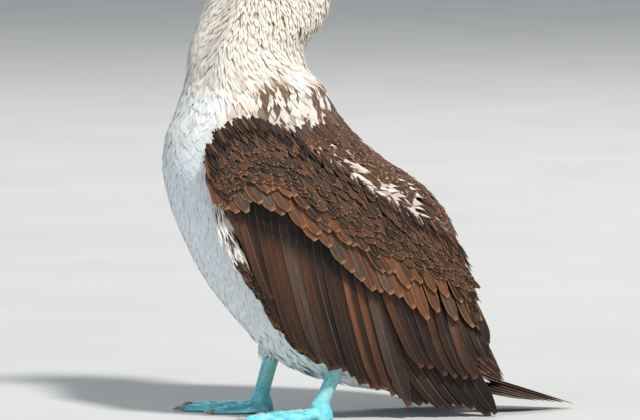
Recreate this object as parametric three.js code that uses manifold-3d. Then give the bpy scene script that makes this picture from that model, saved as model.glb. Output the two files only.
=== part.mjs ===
// A blue-footed booby standing still, life size, as a museum model shows one.
// Millimetres, +Z up. The bird faces -X and its left side is -Y.
// Drawn in a frame whose floor is z = 0 between the feet, then centred on its own box at the end.
import * as THREE from 'three';
import { mergeVertices } from 'three/addons/utils/BufferGeometryUtils.js';
import Module from 'manifold-3d';

const wasm = await Module();
wasm.setup();

// Driving dimensions

const GAP = 0.3; // between neighbouring nodes
const TIDY = 0.01; // edges shorter than this, left by joins and cuts, are closed up
const RING_SIDES = 28; // sides of the body's rings

// The body from tail root to bill root: a point on the belly line, a point on the back line, and the
// half width between them.
const STATIONS = {
  tailRoot: { belly: [112, 20], back: [158, 62], halfWidth: 26 },
  vent: { belly: [42, 29], back: [150, 112], halfWidth: 44 },
  thighs: { belly: [-24, 55], back: [142, 171], halfWidth: 62 },
  belly: { belly: [-83, 117], back: [114, 213], halfWidth: 71 },
  keel: { belly: [-116, 177], back: [82, 236], halfWidth: 74 },
  breast: { belly: [-131, 226], back: [52, 260], halfWidth: 70 },
  shoulders: { belly: [-130, 262], back: [32, 285], halfWidth: 63 },
  neckRoot: { belly: [-119, 291], back: [20, 311], halfWidth: 54 },
  lowerNeck: { belly: [-110, 318], back: [3, 330], halfWidth: 47 },
  midNeck: { belly: [-107, 345], back: [3, 350], halfWidth: 43 },
  upperNeck: { belly: [-98, 372], back: [19, 370], halfWidth: 41 },
  nape: { belly: [-87, 398], back: [25, 394], halfWidth: 38 },
  throat: { belly: [-79, 421], back: [17, 424], halfWidth: 34 },
  hindCrown: { belly: [-79, 436], back: [1, 450], halfWidth: 31.5 },
  crown: { belly: [-84, 443], back: [-19, 471], halfWidth: 29 },
  forehead: { belly: [-90, 445.5], back: [-42, 484.5], halfWidth: 26.5 },
  brow: { belly: [-97, 446.5], back: [-64, 487], halfWidth: 23 },
  eyes: { belly: [-103, 447.5], back: [-82, 484], halfWidth: 19 },
  billRoot: { belly: [-110, 449], back: [-95, 479], halfWidth: 13.5 },
};
const STATION_NAMES = Object.keys(STATIONS);

// The bill: distance along it from its root, half depth, half width, and how far the tip droops.
const BILL_LENGTH = 105;
const BILL_RISE_DEG = 5;
const BILL_STATIONS = [
  { along: 10, halfDepth: 12.9, halfWidth: 11.4, droop: 0 },
  { along: 25, halfDepth: 10.8, halfWidth: 9.4, droop: 0 },
  { along: 50, halfDepth: 8.6, halfWidth: 7.2, droop: 0 },
  { along: 75, halfDepth: 6.3, halfWidth: 5.2, droop: 0.3 },
  { along: 92, halfDepth: 4.2, halfWidth: 3.4, droop: 1.2 },
  { along: 101, halfDepth: 2.4, halfWidth: 1.9, droop: 2.4 },
  { along: BILL_LENGTH, halfDepth: 0.8, halfWidth: 0.6, droop: 3.6 },
];
const BILL_SIDES = 20;
const MOUTH_DROP = 2.4; // the line of the mouth lies this far under the bill's axis
const MOUTH_GAP = 0.5;
const GAPE = { back: 16, down: 4.5, height: 0.8 }; // the mouth's line runs on into the head to below the eye

const EYE = { x: -84, z: 468.5, radius: 6.6, stands: 2.3 }; // stands: how far it shows out of the head
const LID = { radius: 6.3, thickness: 1.15 };

const LEG = { halfDepth: 7.4, halfWidth: 6, ankle: 15, top: 52, spread: 38 };
// Where each foot's toes meet, and how far the leg leans back up to its top
const STANCE = {
  left: { side: -1, x: 11, lean: 18, turnDeg: -3 },
  right: { side: 1, x: -33, lean: 10, turnDeg: 2 },
};
const THIGH = { top: 96, halfDepth: 26, halfWidth: 13, cuffHalfDepth: 10, cuffHalfWidth: 8.5 };

// Toes: length to the claw, and the angle out from straight ahead. A minus angle turns inwards.
const TOES = {
  outer: { length: 70, angleDeg: 25, rootRadius: 6, tipRadius: 3.1 },
  middle: { length: 74, angleDeg: 3, rootRadius: 6.4, tipRadius: 3.3 },
  inner: { length: 54, angleDeg: -24, rootRadius: 6, tipRadius: 3.1 },
  hind: { length: 27, angleDeg: -92, rootRadius: 5, tipRadius: 2.7 },
};
const CLAW = { length: 11, halfDepth: 2.7, halfWidth: 2.1 };
// The web starts and ends just past the middle of its outermost toes
const WEB = { thickness: 1.5, under: 0.7, rootHeight: 8.5, rise: 34, scallop: 8, pastDeg: 2.2 };

// The wing lies over the flank as a sheet: its edges in x, z from the wrist to the wing tip
const WING_STANDS = 9; // the sheet's distance from the flank
const WING_TIP_SPREAD = 40; // least half distance between the two wings
const WING_HANG = { behind: 0.5, wrist: 0.85 }; // share of the flank's roundness that its lower edge follows
const WING_TOP = [
  [-101, 243], [-93, 270], [-67, 284], [-36, 278], [8, 249], [55, 218], [97, 192], [125, 179],
  [144, 157], [152, 131], [157, 104], [162, 82], [165, 68],
];
// The lower edge of the wing's core: flesh and feather roots reach no further down
const WING_CORE_BOTTOM = [
  [-101, 238], [-93, 212], [-74, 186], [-44, 168], [-10, 150], [24, 136], [56, 122], [84, 110],
  [106, 102], [124, 95], [140, 88], [154, 78], [164, 66],
];
const WING_CORE = { outerTop: 6, outerBottom: -1.8, inner: 6.5 }; // its faces' distances from the sheet
// The hand's leading edge, from the wrist down the front of the wing
const HAND = [[-101, 240], [-95, 208], [-84, 170], [-60, 131], [-34, 92], [-8, 65], [22, 54]];
const HAND_WIDTH = 15;
// Feather tiers, innermost first: where roots and tips lie in side view, and distances from the sheet
const TIERS = {
  primaries: {
    count: 8,
    roots: [[20, 108], [58, 104], [92, 98], [126, 94]],
    tips: [[102, 14], [122, 9.5], [150, 5.5], [177, 4.5]],
    halfWidth: 9, rootOut: -3.4, tipOut: -4.6, tilt: 1, rows: 6,
  },
  secondaries: {
    count: 13,
    roots: [[-90, 230], [-72, 236], [-50, 231], [-24, 219], [3, 204], [24, 189], [44, 176]],
    tips: [[-61, 178], [-35, 105], [-6, 65], [21, 50], [47, 38], [68, 28], [93, 16]],
    halfWidth: 9.8, rootOut: -0.9, tipOut: -0.6, tilt: 1.25, rows: 6,
  },
  tertials: {
    count: 4,
    roots: [[58, 168], [84, 156], [106, 148], [122, 142]],
    tips: [[107, 50], [130, 45], [149, 41], [163, 50]],
    halfWidth: 10.6, rootOut: 0.8, tipOut: 1.8, tilt: 1, rows: 5,
  },
  greaterCoverts: {
    count: 13,
    roots: [[-92, 246], [-66, 254], [-30, 240], [12, 210], [54, 180], [88, 160], [122, 146]],
    tips: [[-88, 208], [-55, 208], [-20, 194], [18, 162], [58, 129], [104, 99], [153, 84]],
    halfWidth: 9.6, rootOut: 2.2, tipOut: 4, tilt: 0.9, rows: 4,
  },
  medianCoverts: {
    count: 12,
    roots: [[-92, 260], [-60, 268], [-24, 254], [16, 228], [56, 200], [92, 176], [126, 160]],
    tips: [[-90, 232], [-54, 230], [-14, 210], [26, 178], [66, 148], [108, 122], [150, 112]],
    halfWidth: 10, rootOut: 4, tipOut: 6.8, tilt: 0.8, rows: 4,
  },
};
const VANE = { thickness: 0.7, tipThickness: 0.5, bow: 0.02, vary: 0.03 };

const TAIL = {
  tip: [262, 2.6], // of the middle pair
  pairs: 5,
  coreShare: 0.42, // of its length
  rootHalfDepth: 14, rootHalfWidth: 21,
  halfWidth: 7.5, // of one feather
  spread: 4.3, // sideways from one pair to the next
  drop: 1.9, // down from one pair to the next
  shorter: 0.085, // share that each pair is shorter than the last
};

// Shape tools

const radians = THREE.MathUtils.degToRad;
const lerp = THREE.MathUtils.lerp;

// A closed loft through rings of equal length, flat at both ends.
function loft(rings) {
  const sides = rings[0].length;
  const positions = rings.flat().flatMap((p) => [p.x, p.y, p.z]);
  const index = [];
  for (let r = 0; r + 1 < rings.length; r++) {
    for (let i = 0; i < sides; i++) {
      const a = r * sides + i;
      const b = r * sides + ((i + 1) % sides);
      index.push(a, b, a + sides, b, b + sides, a + sides);
    }
  }
  const last = (rings.length - 1) * sides;
  for (let i = 1; i + 1 < sides; i++) {
    index.push(0, i + 1, i);
    index.push(last, last + i, last + i + 1);
  }
  return new THREE.BufferGeometry()
    .setAttribute('position', new THREE.Float32BufferAttribute(positions, 3))
    .setIndex(index);
}

// A closed thin plate between two grids of points, with both faces split into triangles alike.
function plate(outer, inner) {
  const [rows, columns] = [outer.length, outer[0].length];
  const count = rows * columns;
  const at = (r, c) => r * columns + c;
  const index = [];
  for (let r = 0; r + 1 < rows; r++) {
    for (let c = 0; c + 1 < columns; c++) {
      const [a, b, d, e] = [at(r, c), at(r, c + 1), at(r + 1, c), at(r + 1, c + 1)];
      index.push(a, d, b, b, d, e);
      index.push(count + a, count + b, count + d, count + b, count + e, count + d);
    }
  }
  const rim = [];
  for (let c = 0; c < columns; c++) rim.push(at(0, c));
  for (let r = 1; r < rows; r++) rim.push(at(r, columns - 1));
  for (let c = columns - 2; c >= 0; c--) rim.push(at(rows - 1, c));
  for (let r = rows - 2; r > 0; r--) rim.push(at(r, 0));
  rim.forEach((p, i) => {
    const q = rim[(i + 1) % rim.length];
    index.push(p, q, count + p, q, count + q, count + p);
  });
  const positions = [...outer.flat(), ...inner.flat()].flatMap((p) => [p.x, p.y, p.z]);
  return new THREE.BufferGeometry()
    .setAttribute('position', new THREE.Float32BufferAttribute(positions, 3))
    .setIndex(index);
}

// A ring of points round a centre, on two half axes.
function ring(centre, halfAxisA, halfAxisB, sides) {
  return Array.from({ length: sides }, (_, i) => {
    const turn = (2 * Math.PI * i) / sides;
    return centre.clone()
      .addScaledVector(halfAxisA, Math.cos(turn))
      .addScaledVector(halfAxisB, Math.sin(turn));
  });
}

// Any closed geometry as a solid for cutting and joining, with its faces turned outwards.
function solid(geometry) {
  const bare = geometry.index ? geometry.toNonIndexed() : geometry.clone();
  for (const name of Object.keys(bare.attributes)) if (name !== 'position') bare.deleteAttribute(name);
  const merged = mergeVertices(bare, 1e-4);
  const mesh = { numProp: 3, vertProperties: merged.attributes.position.array };
  const forward = new Uint32Array(merged.index.array);
  const made = new wasm.Manifold(new wasm.Mesh({ ...mesh, triVerts: forward }));
  if (made.volume() > 0) return made;
  const turned = forward.slice();
  for (let i = 0; i < turned.length; i += 3) [turned[i + 1], turned[i + 2]] = [turned[i + 2], turned[i + 1]];
  return new wasm.Manifold(new wasm.Mesh({ ...mesh, triVerts: turned }));
}

const join = (solids) => solids.reduce((all, one) => all.add(one));

// The largest closed body of a solid, as a geometry.
function geometryOf(made) {
  const largest = made.simplify(TIDY).decompose().sort((a, b) => b.volume() - a.volume())[0];
  const mesh = largest.getMesh();
  return new THREE.BufferGeometry()
    .setAttribute('position', new THREE.BufferAttribute(new Float32Array(mesh.vertProperties), 3))
    .setIndex(new THREE.BufferAttribute(new Uint32Array(mesh.triVerts), 1));
}

// The body's shape

const line = (pick) => new THREE.SplineCurve(STATION_NAMES.map((name, i) => pick(STATIONS[name], i)));
const bellyLine = line((s) => new THREE.Vector2(...s.belly));
const backLine = line((s) => new THREE.Vector2(...s.back));
const widthLine = line((s, i) => new THREE.Vector2(i, s.halfWidth));
const LAST_STATION = STATION_NAMES.length - 1;
const station = (name) => STATION_NAMES.indexOf(name);

// The body's section at a place counted in stations, grown outwards and moved along the body.
function section(at, grown = 0, moved = 0) {
  const belly = bellyLine.getPoint(at / LAST_STATION);
  const back = backLine.getPoint(at / LAST_STATION);
  const halfWidth = widthLine.getPoint(at / LAST_STATION).y + grown;
  const across = back.clone().sub(belly);
  const halfDepth = across.length() / 2 + grown;
  const up = new THREE.Vector3(across.x, 0, across.y).normalize();
  const towardsHead = new THREE.Vector3(-up.z, 0, up.x);
  const centre = new THREE.Vector3((belly.x + back.x) / 2, 0, (belly.y + back.y) / 2)
    .addScaledVector(towardsHead, moved);
  return { centre, up, towardsHead, halfDepth, halfWidth };
}

function sectionRing(at, grown, moved) {
  const s = section(at, grown, moved);
  return ring(s.centre, s.up.clone().multiplyScalar(s.halfDepth), new THREE.Vector3(0, s.halfWidth, 0), RING_SIDES);
}

// The body between two stations, with a thin cut at the ends that meet a neighbour.
function bodyPart(from, to, rings, { grown = 0, cutStart = GAP / 2, cutEnd = GAP / 2 } = {}) {
  const [first, last] = [station(from), station(to)];
  return loft(Array.from({ length: rings + 1 }, (_, i) => {
    const moved = i === 0 ? cutStart : i === rings ? -cutEnd : 0;
    return sectionRing(lerp(first, last, i / rings), grown, moved);
  }));
}

const grownTorso = solid(bodyPart('tailRoot', 'neckRoot', 19, { grown: GAP + 0.1, cutStart: -GAP, cutEnd: -GAP }));

// Head and bill

const billSection = section(LAST_STATION);
const billAxis = new THREE.Vector3(-1, 0, 0)
  .applyAxisAngle(new THREE.Vector3(0, 1, 0), radians(BILL_RISE_DEG)).normalize();
const billUp = new THREE.Vector3(0, 1, 0).cross(billAxis);

function eyeCentre(side) {
  const s = section(station('eyes') - 0.45);
  const flank = s.halfWidth;
  return new THREE.Vector3(EYE.x, side * (flank + EYE.stands - EYE.radius), EYE.z);
}

function ball(radius, centre, around, along) {
  return new THREE.SphereGeometry(radius, around, along).translate(centre.x, centre.y, centre.z);
}

// The slit that carries the line of the mouth on into the head.
function gape() {
  const front = billSection.centre.clone().addScaledVector(billUp, -MOUTH_DROP).addScaledVector(billAxis, 6);
  const back = front.clone().add(new THREE.Vector3(GAPE.back + 6, 0, -GAPE.down));
  const faces = [0.5, -0.5].map((share) => [front, back].map((p) => [-1, 1].map((side) => (
    new THREE.Vector3(p.x, side * 2 * billSection.halfWidth, p.z + share * GAPE.height)))));
  return solid(plate(...faces));
}

function headGeometry() {
  const head = solid(bodyPart('throat', 'billRoot', 14)).subtract(gape());
  const lids = [-1, 1].map((side) => {
    const rim = new THREE.TorusGeometry(LID.radius, LID.thickness, 5, 16).rotateX(Math.PI / 2);
    const centre = eyeCentre(side);
    return solid(rim.translate(centre.x, side * (Math.abs(centre.y) + 2.6), centre.z));
  });
  const sockets = [-1, 1].map((side) => solid(ball(EYE.radius + GAP, eyeCentre(side), 14, 8)));
  return geometryOf(join([head, ...lids]).subtract(join(sockets)));
}

function wholeBill() {
  const rootRing = ring(
    billSection.centre.clone().addScaledVector(billSection.towardsHead, GAP / 2),
    billSection.up.clone().multiplyScalar(billSection.halfDepth - 0.2),
    new THREE.Vector3(0, billSection.halfWidth - 0.2, 0),
    BILL_SIDES,
  );
  const rings = BILL_STATIONS.map((s) => ring(
    billSection.centre.clone().addScaledVector(billAxis, s.along).addScaledVector(billUp, -s.droop),
    billUp.clone().multiplyScalar(s.halfDepth),
    new THREE.Vector3(0, s.halfWidth, 0),
    BILL_SIDES,
  ));
  return solid(loft([rootRing, ...rings]));
}

function billHalves() {
  const bill = wholeBill();
  const mouth = billSection.centre.clone().addScaledVector(billUp, -MOUTH_DROP);
  const level = mouth.dot(billUp);
  const n = billUp.toArray();
  return {
    upper: geometryOf(bill.trimByPlane(n, level + MOUTH_GAP / 2)),
    lower: geometryOf(bill.trimByPlane(n.map((v) => -v), -level + MOUTH_GAP / 2)),
  };
}

// Legs and feet

function legRing(side, x, z, halfDepth, halfWidth) {
  return ring(
    new THREE.Vector3(x, side * LEG.spread, z),
    new THREE.Vector3(halfDepth, 0, 0),
    new THREE.Vector3(0, halfWidth, 0),
    14,
  );
}

function legGeometry({ side, x, lean }) {
  const heights = [0, 0.12, 0.3, 0.6, 0.85, 1];
  const swell = [1.12, 1.02, 0.93, 0.92, 1.05, 1.15];
  return geometryOf(solid(loft(heights.map((t, i) => legRing(
    side,
    x + lean * t,
    lerp(LEG.ankle, LEG.top, t),
    LEG.halfDepth * swell[i],
    LEG.halfWidth * swell[i],
  )))).subtract(grownTorso));
}

function thighGeometry({ side, x, lean }) {
  const steps = [0, 0.15, 0.4, 0.7, 1];
  const rings = steps.map((t) => legRing(
    side,
    x + lean * (1 + 0.7 * t) + 14 * t,
    lerp(LEG.top + GAP, THIGH.top, t),
    lerp(THIGH.cuffHalfDepth, THIGH.halfDepth, Math.sqrt(t)),
    lerp(THIGH.cuffHalfWidth, THIGH.halfWidth, Math.sqrt(t)),
  ));
  return geometryOf(solid(loft(rings)).subtract(grownTorso));
}

// A point on the floor at a distance and an angle from where the foot's toes meet.
function footPoint({ side, x, turnDeg }, angleDeg, distance, height) {
  const angle = radians(angleDeg + turnDeg * side);
  return new THREE.Vector3(
    x - distance * Math.cos(angle),
    side * (LEG.spread + distance * Math.sin(angle)),
    height,
  );
}

// Rings along a toe or claw, from where the toes meet outwards.
function barRings(foot, angleDeg, stops, sides) {
  const sideways = footPoint(foot, angleDeg + 90, 1, 0).sub(footPoint(foot, 0, 0, 0));
  return stops.map(({ at, halfDepth, halfWidth, height }) => ring(
    footPoint(foot, angleDeg, at, height),
    new THREE.Vector3(0, 0, halfDepth),
    sideways.clone().multiplyScalar(halfWidth),
    sides,
  ));
}

function toeGeometry(foot, toe) {
  const shares = [0, 0.3, 0.36, 0.62, 0.68, 0.94, 1];
  const swells = [1, 0.86, 1.12, 0.92, 1.12, 1.05, 0.8];
  return loft(barRings(foot, toe.angleDeg, shares.map((share, i) => {
    const radius = lerp(toe.rootRadius, toe.tipRadius, share) * swells[i];
    const height = Math.max(radius * 0.72, lerp(7.5, 1.5, share * 3));
    return { at: share * toe.length, halfDepth: radius, halfWidth: radius, height };
  }), 8));
}

function clawGeometry(foot, toe) {
  const shares = [0, 0.4, 0.75, 1];
  const sizes = [1, 0.86, 0.55, 0.14];
  const heights = [3, 3.1, 2.3, 0.7];
  return loft(barRings(foot, toe.angleDeg, shares.map((share, i) => ({
    at: toe.length + GAP + share * CLAW.length,
    halfDepth: CLAW.halfDepth * sizes[i],
    halfWidth: CLAW.halfWidth * sizes[i],
    height: heights[i],
  })), 8));
}

// The web's reach at each angle: toe to toe, hollowed between them.
function webSpokes() {
  const order = ['outer', 'middle', 'inner', 'hind'].map((name) => TOES[name]);
  const perGap = 5;
  const spokes = [];
  for (let g = 0; g + 1 < order.length; g++) {
    for (let i = 0; i < perGap; i++) {
      const f = i / perGap;
      const reach = lerp(order[g].length, order[g + 1].length, f) * 0.97;
      spokes.push({
        angleDeg: lerp(order[g].angleDeg, order[g + 1].angleDeg, f),
        reach: reach - WEB.scallop * Math.sin(Math.PI * f),
      });
    }
  }
  const last = order[order.length - 1];
  spokes.push({ angleDeg: last.angleDeg - WEB.pastDeg, reach: last.length * 0.96 });
  spokes[0].angleDeg += WEB.pastDeg;
  return spokes;
}

function webGeometry(foot) {
  const shares = [0.02, 0.12, 0.25, 0.42, 0.68, 1];
  return loft(webSpokes().map(({ angleDeg, reach }) => {
    const upper = shares.map((share) => {
      const near = Math.max(0, 1 - (share * reach) / WEB.rise);
      const top = WEB.under + WEB.thickness + WEB.rootHeight * near * near;
      return footPoint(foot, angleDeg, share * reach, top);
    });
    const lower = upper.map((p) => p.clone().setZ(p.z - WEB.thickness)).reverse();
    return [...upper, ...lower];
  }));
}

function footGeometry(foot) {
  const ankle = loft([
    legRing(foot.side, foot.x + 3, -2, 9, 8),
    legRing(foot.side, foot.x + 2, 7, 9.5, 8.4),
    legRing(foot.side, foot.x, LEG.ankle - GAP, LEG.halfDepth * 1.12, LEG.halfWidth * 1.12),
  ]);
  const toes = Object.values(TOES).map((toe) => toeGeometry(foot, toe));
  return geometryOf(join([ankle, webGeometry(foot), ...toes].map(solid)).trimByPlane([0, 0, 1], 0));
}

// Wings

// How far along the body, in stations, the section through a place in side view stands.
function stationThrough(x, z) {
  let [low, high] = [0, station('neckRoot')];
  for (let step = 0; step < 24; step++) {
    const middle = (low + high) / 2;
    const { centre, towardsHead } = section(middle);
    const ahead = (x - centre.x) * towardsHead.x + (z - centre.z) * towardsHead.z > 0;
    [low, high] = ahead ? [middle, high] : [low, middle];
  }
  return (low + high) / 2;
}

// How far out from the middle plane the wing's sheet lies at a place in side view.
function sheetOut(x, z) {
  const at = stationThrough(x, z);
  const { centre, up, halfDepth, halfWidth } = section(at);
  const width = Math.max(halfWidth, WING_TIP_SPREAD) + WING_STANDS;
  const depth = Math.max(halfDepth, 80) + WING_STANDS;
  const above = ((x - centre.x) * up.x + (z - centre.z) * up.z) / depth;
  const hang = lerp(WING_HANG.behind, WING_HANG.wrist, Math.min(1, at / station('shoulders')));
  const share = above > 0 ? above : -above * hang;
  const straightFrom = 0.75;
  if (share < straightFrom) return width * Math.sqrt(1 - share * share);
  const fall = straightFrom / Math.sqrt(1 - straightFrom * straightFrom);
  return width * (Math.sqrt(1 - straightFrom * straightFrom) - fall * (share - straightFrom));
}

const sideCurve = (points) => new THREE.SplineCurve(points.map((p) => new THREE.Vector2(...p)));

// A place on the left wing's sheet, moved outwards.
function onSheet(x, z, outwards) {
  return new THREE.Vector3(x, -(sheetOut(x, z) + outwards), z);
}

// A slab of the sheet between two edges in side view, from the wrist backwards.
function sheetSlab(top, bottom, columns, rows, { outerTop, outerBottom, inner }) {
  const places = Array.from({ length: columns + 1 }, (_, c) => {
    const [a, b] = [top, bottom].map((curve) => curve.getPoint(c / columns));
    return Array.from({ length: rows + 1 }, (_, r) => a.clone().lerp(b, r / rows));
  });
  const outer = places.map((down) => down.map((p, r) => {
    const rounded = r === 0 ? -0.5 * outerTop : 0;
    return onSheet(p.x, p.y, lerp(outerTop, outerBottom, r / rows) + rounded);
  }));
  return plate(outer, places.map((down) => down.map((p) => onSheet(p.x, p.y, -inner))));
}

const random = (() => {
  let state = 20417;
  return () => {
    state = (state * 48271) % 2147483647;
    return state / 2147483647;
  };
})();
const vary = (size) => 1 + size * (2 * random() - 1);

// Half width shares of a feather from root to rounded tip.
const VANE_SHAPE = new THREE.SplineCurve([[0, 0.55], [0.35, 0.92], [0.7, 1], [0.9, 0.8], [1, 0.24]]
  .map((p) => new THREE.Vector2(...p)));

// Where along a feather its rows of points stand: closer together towards the rounded tip.
const rowShare = (row, rows) => 1 - (1 - row / rows) ** 1.5;

// A feather as a thin vane that follows the wing's sheet, its front edge raised over its neighbour.
function wingVane(root, tip, { halfWidth, rootOut, tipOut, tilt, rows }) {
  const along = tip.clone().sub(root);
  const rearwards = new THREE.Vector2(-along.y, along.x).normalize();
  const faces = [VANE.thickness, 0].map((raised) => Array.from({ length: rows + 1 }, (_, row) => {
    const share = rowShare(row, rows);
    const half = halfWidth * VANE_SHAPE.getPoint(share).y;
    const bow = VANE.bow * along.length() * Math.sin(Math.PI * share);
    const thick = raised * lerp(1, VANE.tipThickness / VANE.thickness, share);
    return [-1, 1].map((edge) => {
      const p = root.clone().addScaledVector(along, share).addScaledVector(rearwards, edge * half - bow);
      return onSheet(p.x, p.y, lerp(rootOut, tipOut, share) - edge * tilt + thick);
    });
  }));
  return plate(...faces);
}

function tier(sizes) {
  const [roots, tips] = [sizes.roots, sizes.tips].map(sideCurve);
  return Array.from({ length: sizes.count }, (_, i) => {
    const share = i / (sizes.count - 1);
    const root = roots.getPoint(share);
    const tip = root.clone().lerp(tips.getPoint(share), vary(VANE.vary));
    return wingVane(root, tip, { ...sizes, halfWidth: sizes.halfWidth * vary(VANE.vary) });
  });
}

// The left wing: a core, the hand along its leading edge, and the feathers in tiers over them.
function leftWing() {
  const core = sheetSlab(sideCurve(WING_TOP), sideCurve(WING_CORE_BOTTOM), 22, 4, WING_CORE);
  const leading = sideCurve(HAND);
  const inset = sideCurve(HAND.map(([x, z]) => [x + 0.85 * HAND_WIDTH, z + 0.35 * HAND_WIDTH]));
  const hand = sheetSlab(inset, leading, 10, 1, { outerTop: -1.5, outerBottom: -3, inner: 6 });
  const vanes = Object.values(TIERS).flatMap(tier);
  return join([core, hand, ...vanes].map(solid)).subtract(grownTorso);
}

// Tail

const tailRoot = section(0, 0, -GAP / 2);
const tailTip = new THREE.Vector3(TAIL.tip[0], 0, TAIL.tip[1]);
const tailAlong = tailTip.clone().sub(tailRoot.centre);
const tailUp = new THREE.Vector3(-tailAlong.z, 0, tailAlong.x).normalize();

// A tail feather: pair 0 is the middle pair, on top.
function tailVane(pair, side) {
  const length = (1 - TAIL.shorter * pair) * vary(VANE.vary / 2);
  const rows = 5;
  const faces = [VANE.thickness, 0].map((raised) => Array.from({ length: rows + 1 }, (_, row) => {
    const share = rowShare(row, rows);
    const half = TAIL.halfWidth * VANE_SHAPE.getPoint(share).y;
    const fan = lerp(0.55, 1, share);
    const centre = tailRoot.centre.clone()
      .addScaledVector(tailAlong, share * length)
      .addScaledVector(tailUp, (3.5 - pair * TAIL.drop) * lerp(1.6, 0.45, share) + raised);
    centre.y = side * (1.2 + pair * TAIL.spread) * fan;
    return [-1, 1].map((edge) => centre.clone()
      .add(new THREE.Vector3(0, edge * half, 0))
      .addScaledVector(tailUp, -edge * side * 1.1));
  }));
  return plate(...faces);
}

function tailGeometry() {
  const core = loft([0, 0.5, 1].map((t) => ring(
    tailRoot.centre.clone().addScaledVector(tailAlong, t * TAIL.coreShare),
    (t === 0 ? tailRoot.up : tailUp).clone().multiplyScalar(lerp(TAIL.rootHalfDepth, 2.4, Math.sqrt(t))),
    new THREE.Vector3(0, lerp(TAIL.rootHalfWidth, 14, t), 0),
    16,
  )));
  const vanes = Array.from({ length: TAIL.pairs }, (_, i) => TAIL.pairs - 1 - i)
    .flatMap((pair) => [-1, 1].map((side) => tailVane(pair, side)));
  const beyondTorso = join([core, ...vanes].map(solid)).subtract(grownTorso);
  return geometryOf(beyondTorso.trimByPlane([0, 0, 1], 0));
}

// Finishes

const FINISHES = {
  whitePlumage: { color: 0xeae6e0, roughness: 0.9 },
  streakedPlumage: { color: 0xd9cbbb, roughness: 0.9 },
  brownPlumage: { color: 0x5b3b28, roughness: 0.8 },
  blueSkin: { color: 0x4fb4cf, roughness: 0.5 },
  claw: { color: 0x8f9296, roughness: 0.4 },
  bill: { color: 0x7d8f96, roughness: 0.45 },
  eye: { color: 0xd9b93a, roughness: 0.1 },
};
const materials = Object.fromEntries(Object.entries(FINISHES).map(([name, finish]) => [
  name, new THREE.MeshStandardMaterial({ ...finish, metalness: 0, name }),
]));

// The whole bird

const bird = new THREE.Group();

function add(name, geometry, finish) {
  const mesh = new THREE.Mesh(geometryOf(solid(geometry)), materials[finish]);
  mesh.name = name;
  bird.add(mesh);
}

add('torso', bodyPart('tailRoot', 'neckRoot', 19), 'whitePlumage');
add('neck_lower', bodyPart('neckRoot', 'midNeck', 4), 'streakedPlumage');
add('neck_upper', bodyPart('midNeck', 'throat', 6), 'streakedPlumage');
add('head', headGeometry(), 'streakedPlumage');
const bill = billHalves();
add('bill_upper', bill.upper, 'bill');
add('bill_lower', bill.lower, 'bill');
add('tail', tailGeometry(), 'brownPlumage');

const wing = { left: leftWing() };
wing.right = wing.left.mirror([0, 1, 0]);
for (const [sideName, foot] of Object.entries(STANCE)) {
  add(`wing_${sideName}`, geometryOf(wing[sideName]), 'brownPlumage');
  add(`eye_${sideName}`, ball(EYE.radius, eyeCentre(foot.side), 14, 8), 'eye');
  add(`thigh_${sideName}`, thighGeometry(foot), 'whitePlumage');
  add(`leg_${sideName}`, legGeometry(foot), 'blueSkin');
  add(`foot_${sideName}`, footGeometry(foot), 'blueSkin');
  for (const [toeName, toe] of Object.entries(TOES)) {
    add(`claw_${sideName}_${toeName}`, clawGeometry(foot, toe), 'claw');
  }
}

// The origin is at the middle of the bird's box, on the floor.
const box = new THREE.Box3().setFromObject(bird);
bird.position.set(-(box.min.x + box.max.x) / 2, -(box.min.y + box.max.y) / 2, -box.min.z);

export default bird;
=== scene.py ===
"""A blue-footed booby as a still, life-size museum model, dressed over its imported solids.

The bird faces -X and stands with both feet on the floor, its left side towards the camera. Shapes are
drawn in millimetres in the bird's own drawing frame, with the floor at z = 0, and Studio moves them to the
part's frame.
"""

import logging
import math
from dataclasses import dataclass, field
from enum import Enum

import bmesh
import bpy
import numpy as np
from mathutils import Matrix, Vector, noise
from mathutils.bvhtree import BVHTree


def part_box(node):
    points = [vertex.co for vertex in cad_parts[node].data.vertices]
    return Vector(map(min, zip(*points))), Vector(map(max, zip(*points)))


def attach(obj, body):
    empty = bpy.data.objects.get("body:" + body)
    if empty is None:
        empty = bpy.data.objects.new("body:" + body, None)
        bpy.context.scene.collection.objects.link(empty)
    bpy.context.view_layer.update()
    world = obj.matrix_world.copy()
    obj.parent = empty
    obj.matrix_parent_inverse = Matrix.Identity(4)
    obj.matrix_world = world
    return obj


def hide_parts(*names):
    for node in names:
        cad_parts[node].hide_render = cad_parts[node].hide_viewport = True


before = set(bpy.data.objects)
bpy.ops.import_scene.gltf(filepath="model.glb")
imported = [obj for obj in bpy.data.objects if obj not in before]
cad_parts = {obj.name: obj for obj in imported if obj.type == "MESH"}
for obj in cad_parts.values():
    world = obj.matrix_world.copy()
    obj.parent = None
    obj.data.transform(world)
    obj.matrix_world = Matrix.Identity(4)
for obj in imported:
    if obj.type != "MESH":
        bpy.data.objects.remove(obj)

Array = np.ndarray
Material = bpy.types.Material
Mesh = bpy.types.Mesh
Socket = bpy.types.NodeSocket
LOG = logging.getLogger("booby")
MM = 0.001
ROOT_BODY = "root"
TUFT_PATCH = 0.003
SIDEWAYS = np.array([0.0, 1.0, 0.0])


class Side(Enum):
    """A side of the bird, by the sign of Y on it."""

    LEFT = -1
    RIGHT = 1

    @property
    def word(self) -> str:
        """The side's name as the nodes write it."""
        return self.name.lower()


class Tone(Enum):
    """The bird's colours as red, green and blue from 0 to 255."""

    SNOW = (234, 234, 233)
    CREAM = (236, 227, 214)
    STREAK = (158, 114, 78)
    CROWN = (134, 100, 76)
    UMBER = (46, 30, 22)
    BROWN = (78, 49, 33)
    RUSSET = (104, 65, 41)
    TAN = (170, 120, 76)
    ASH = (84, 67, 56)
    SOOT = (29, 20, 16)

    @property
    def linear(self) -> Array:
        """The colour as linear light."""
        share = np.array(self.value) / 255
        return np.where(share > 0.04045, ((share + 0.055) / 1.055) ** 2.4, share / 12.92)


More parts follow.
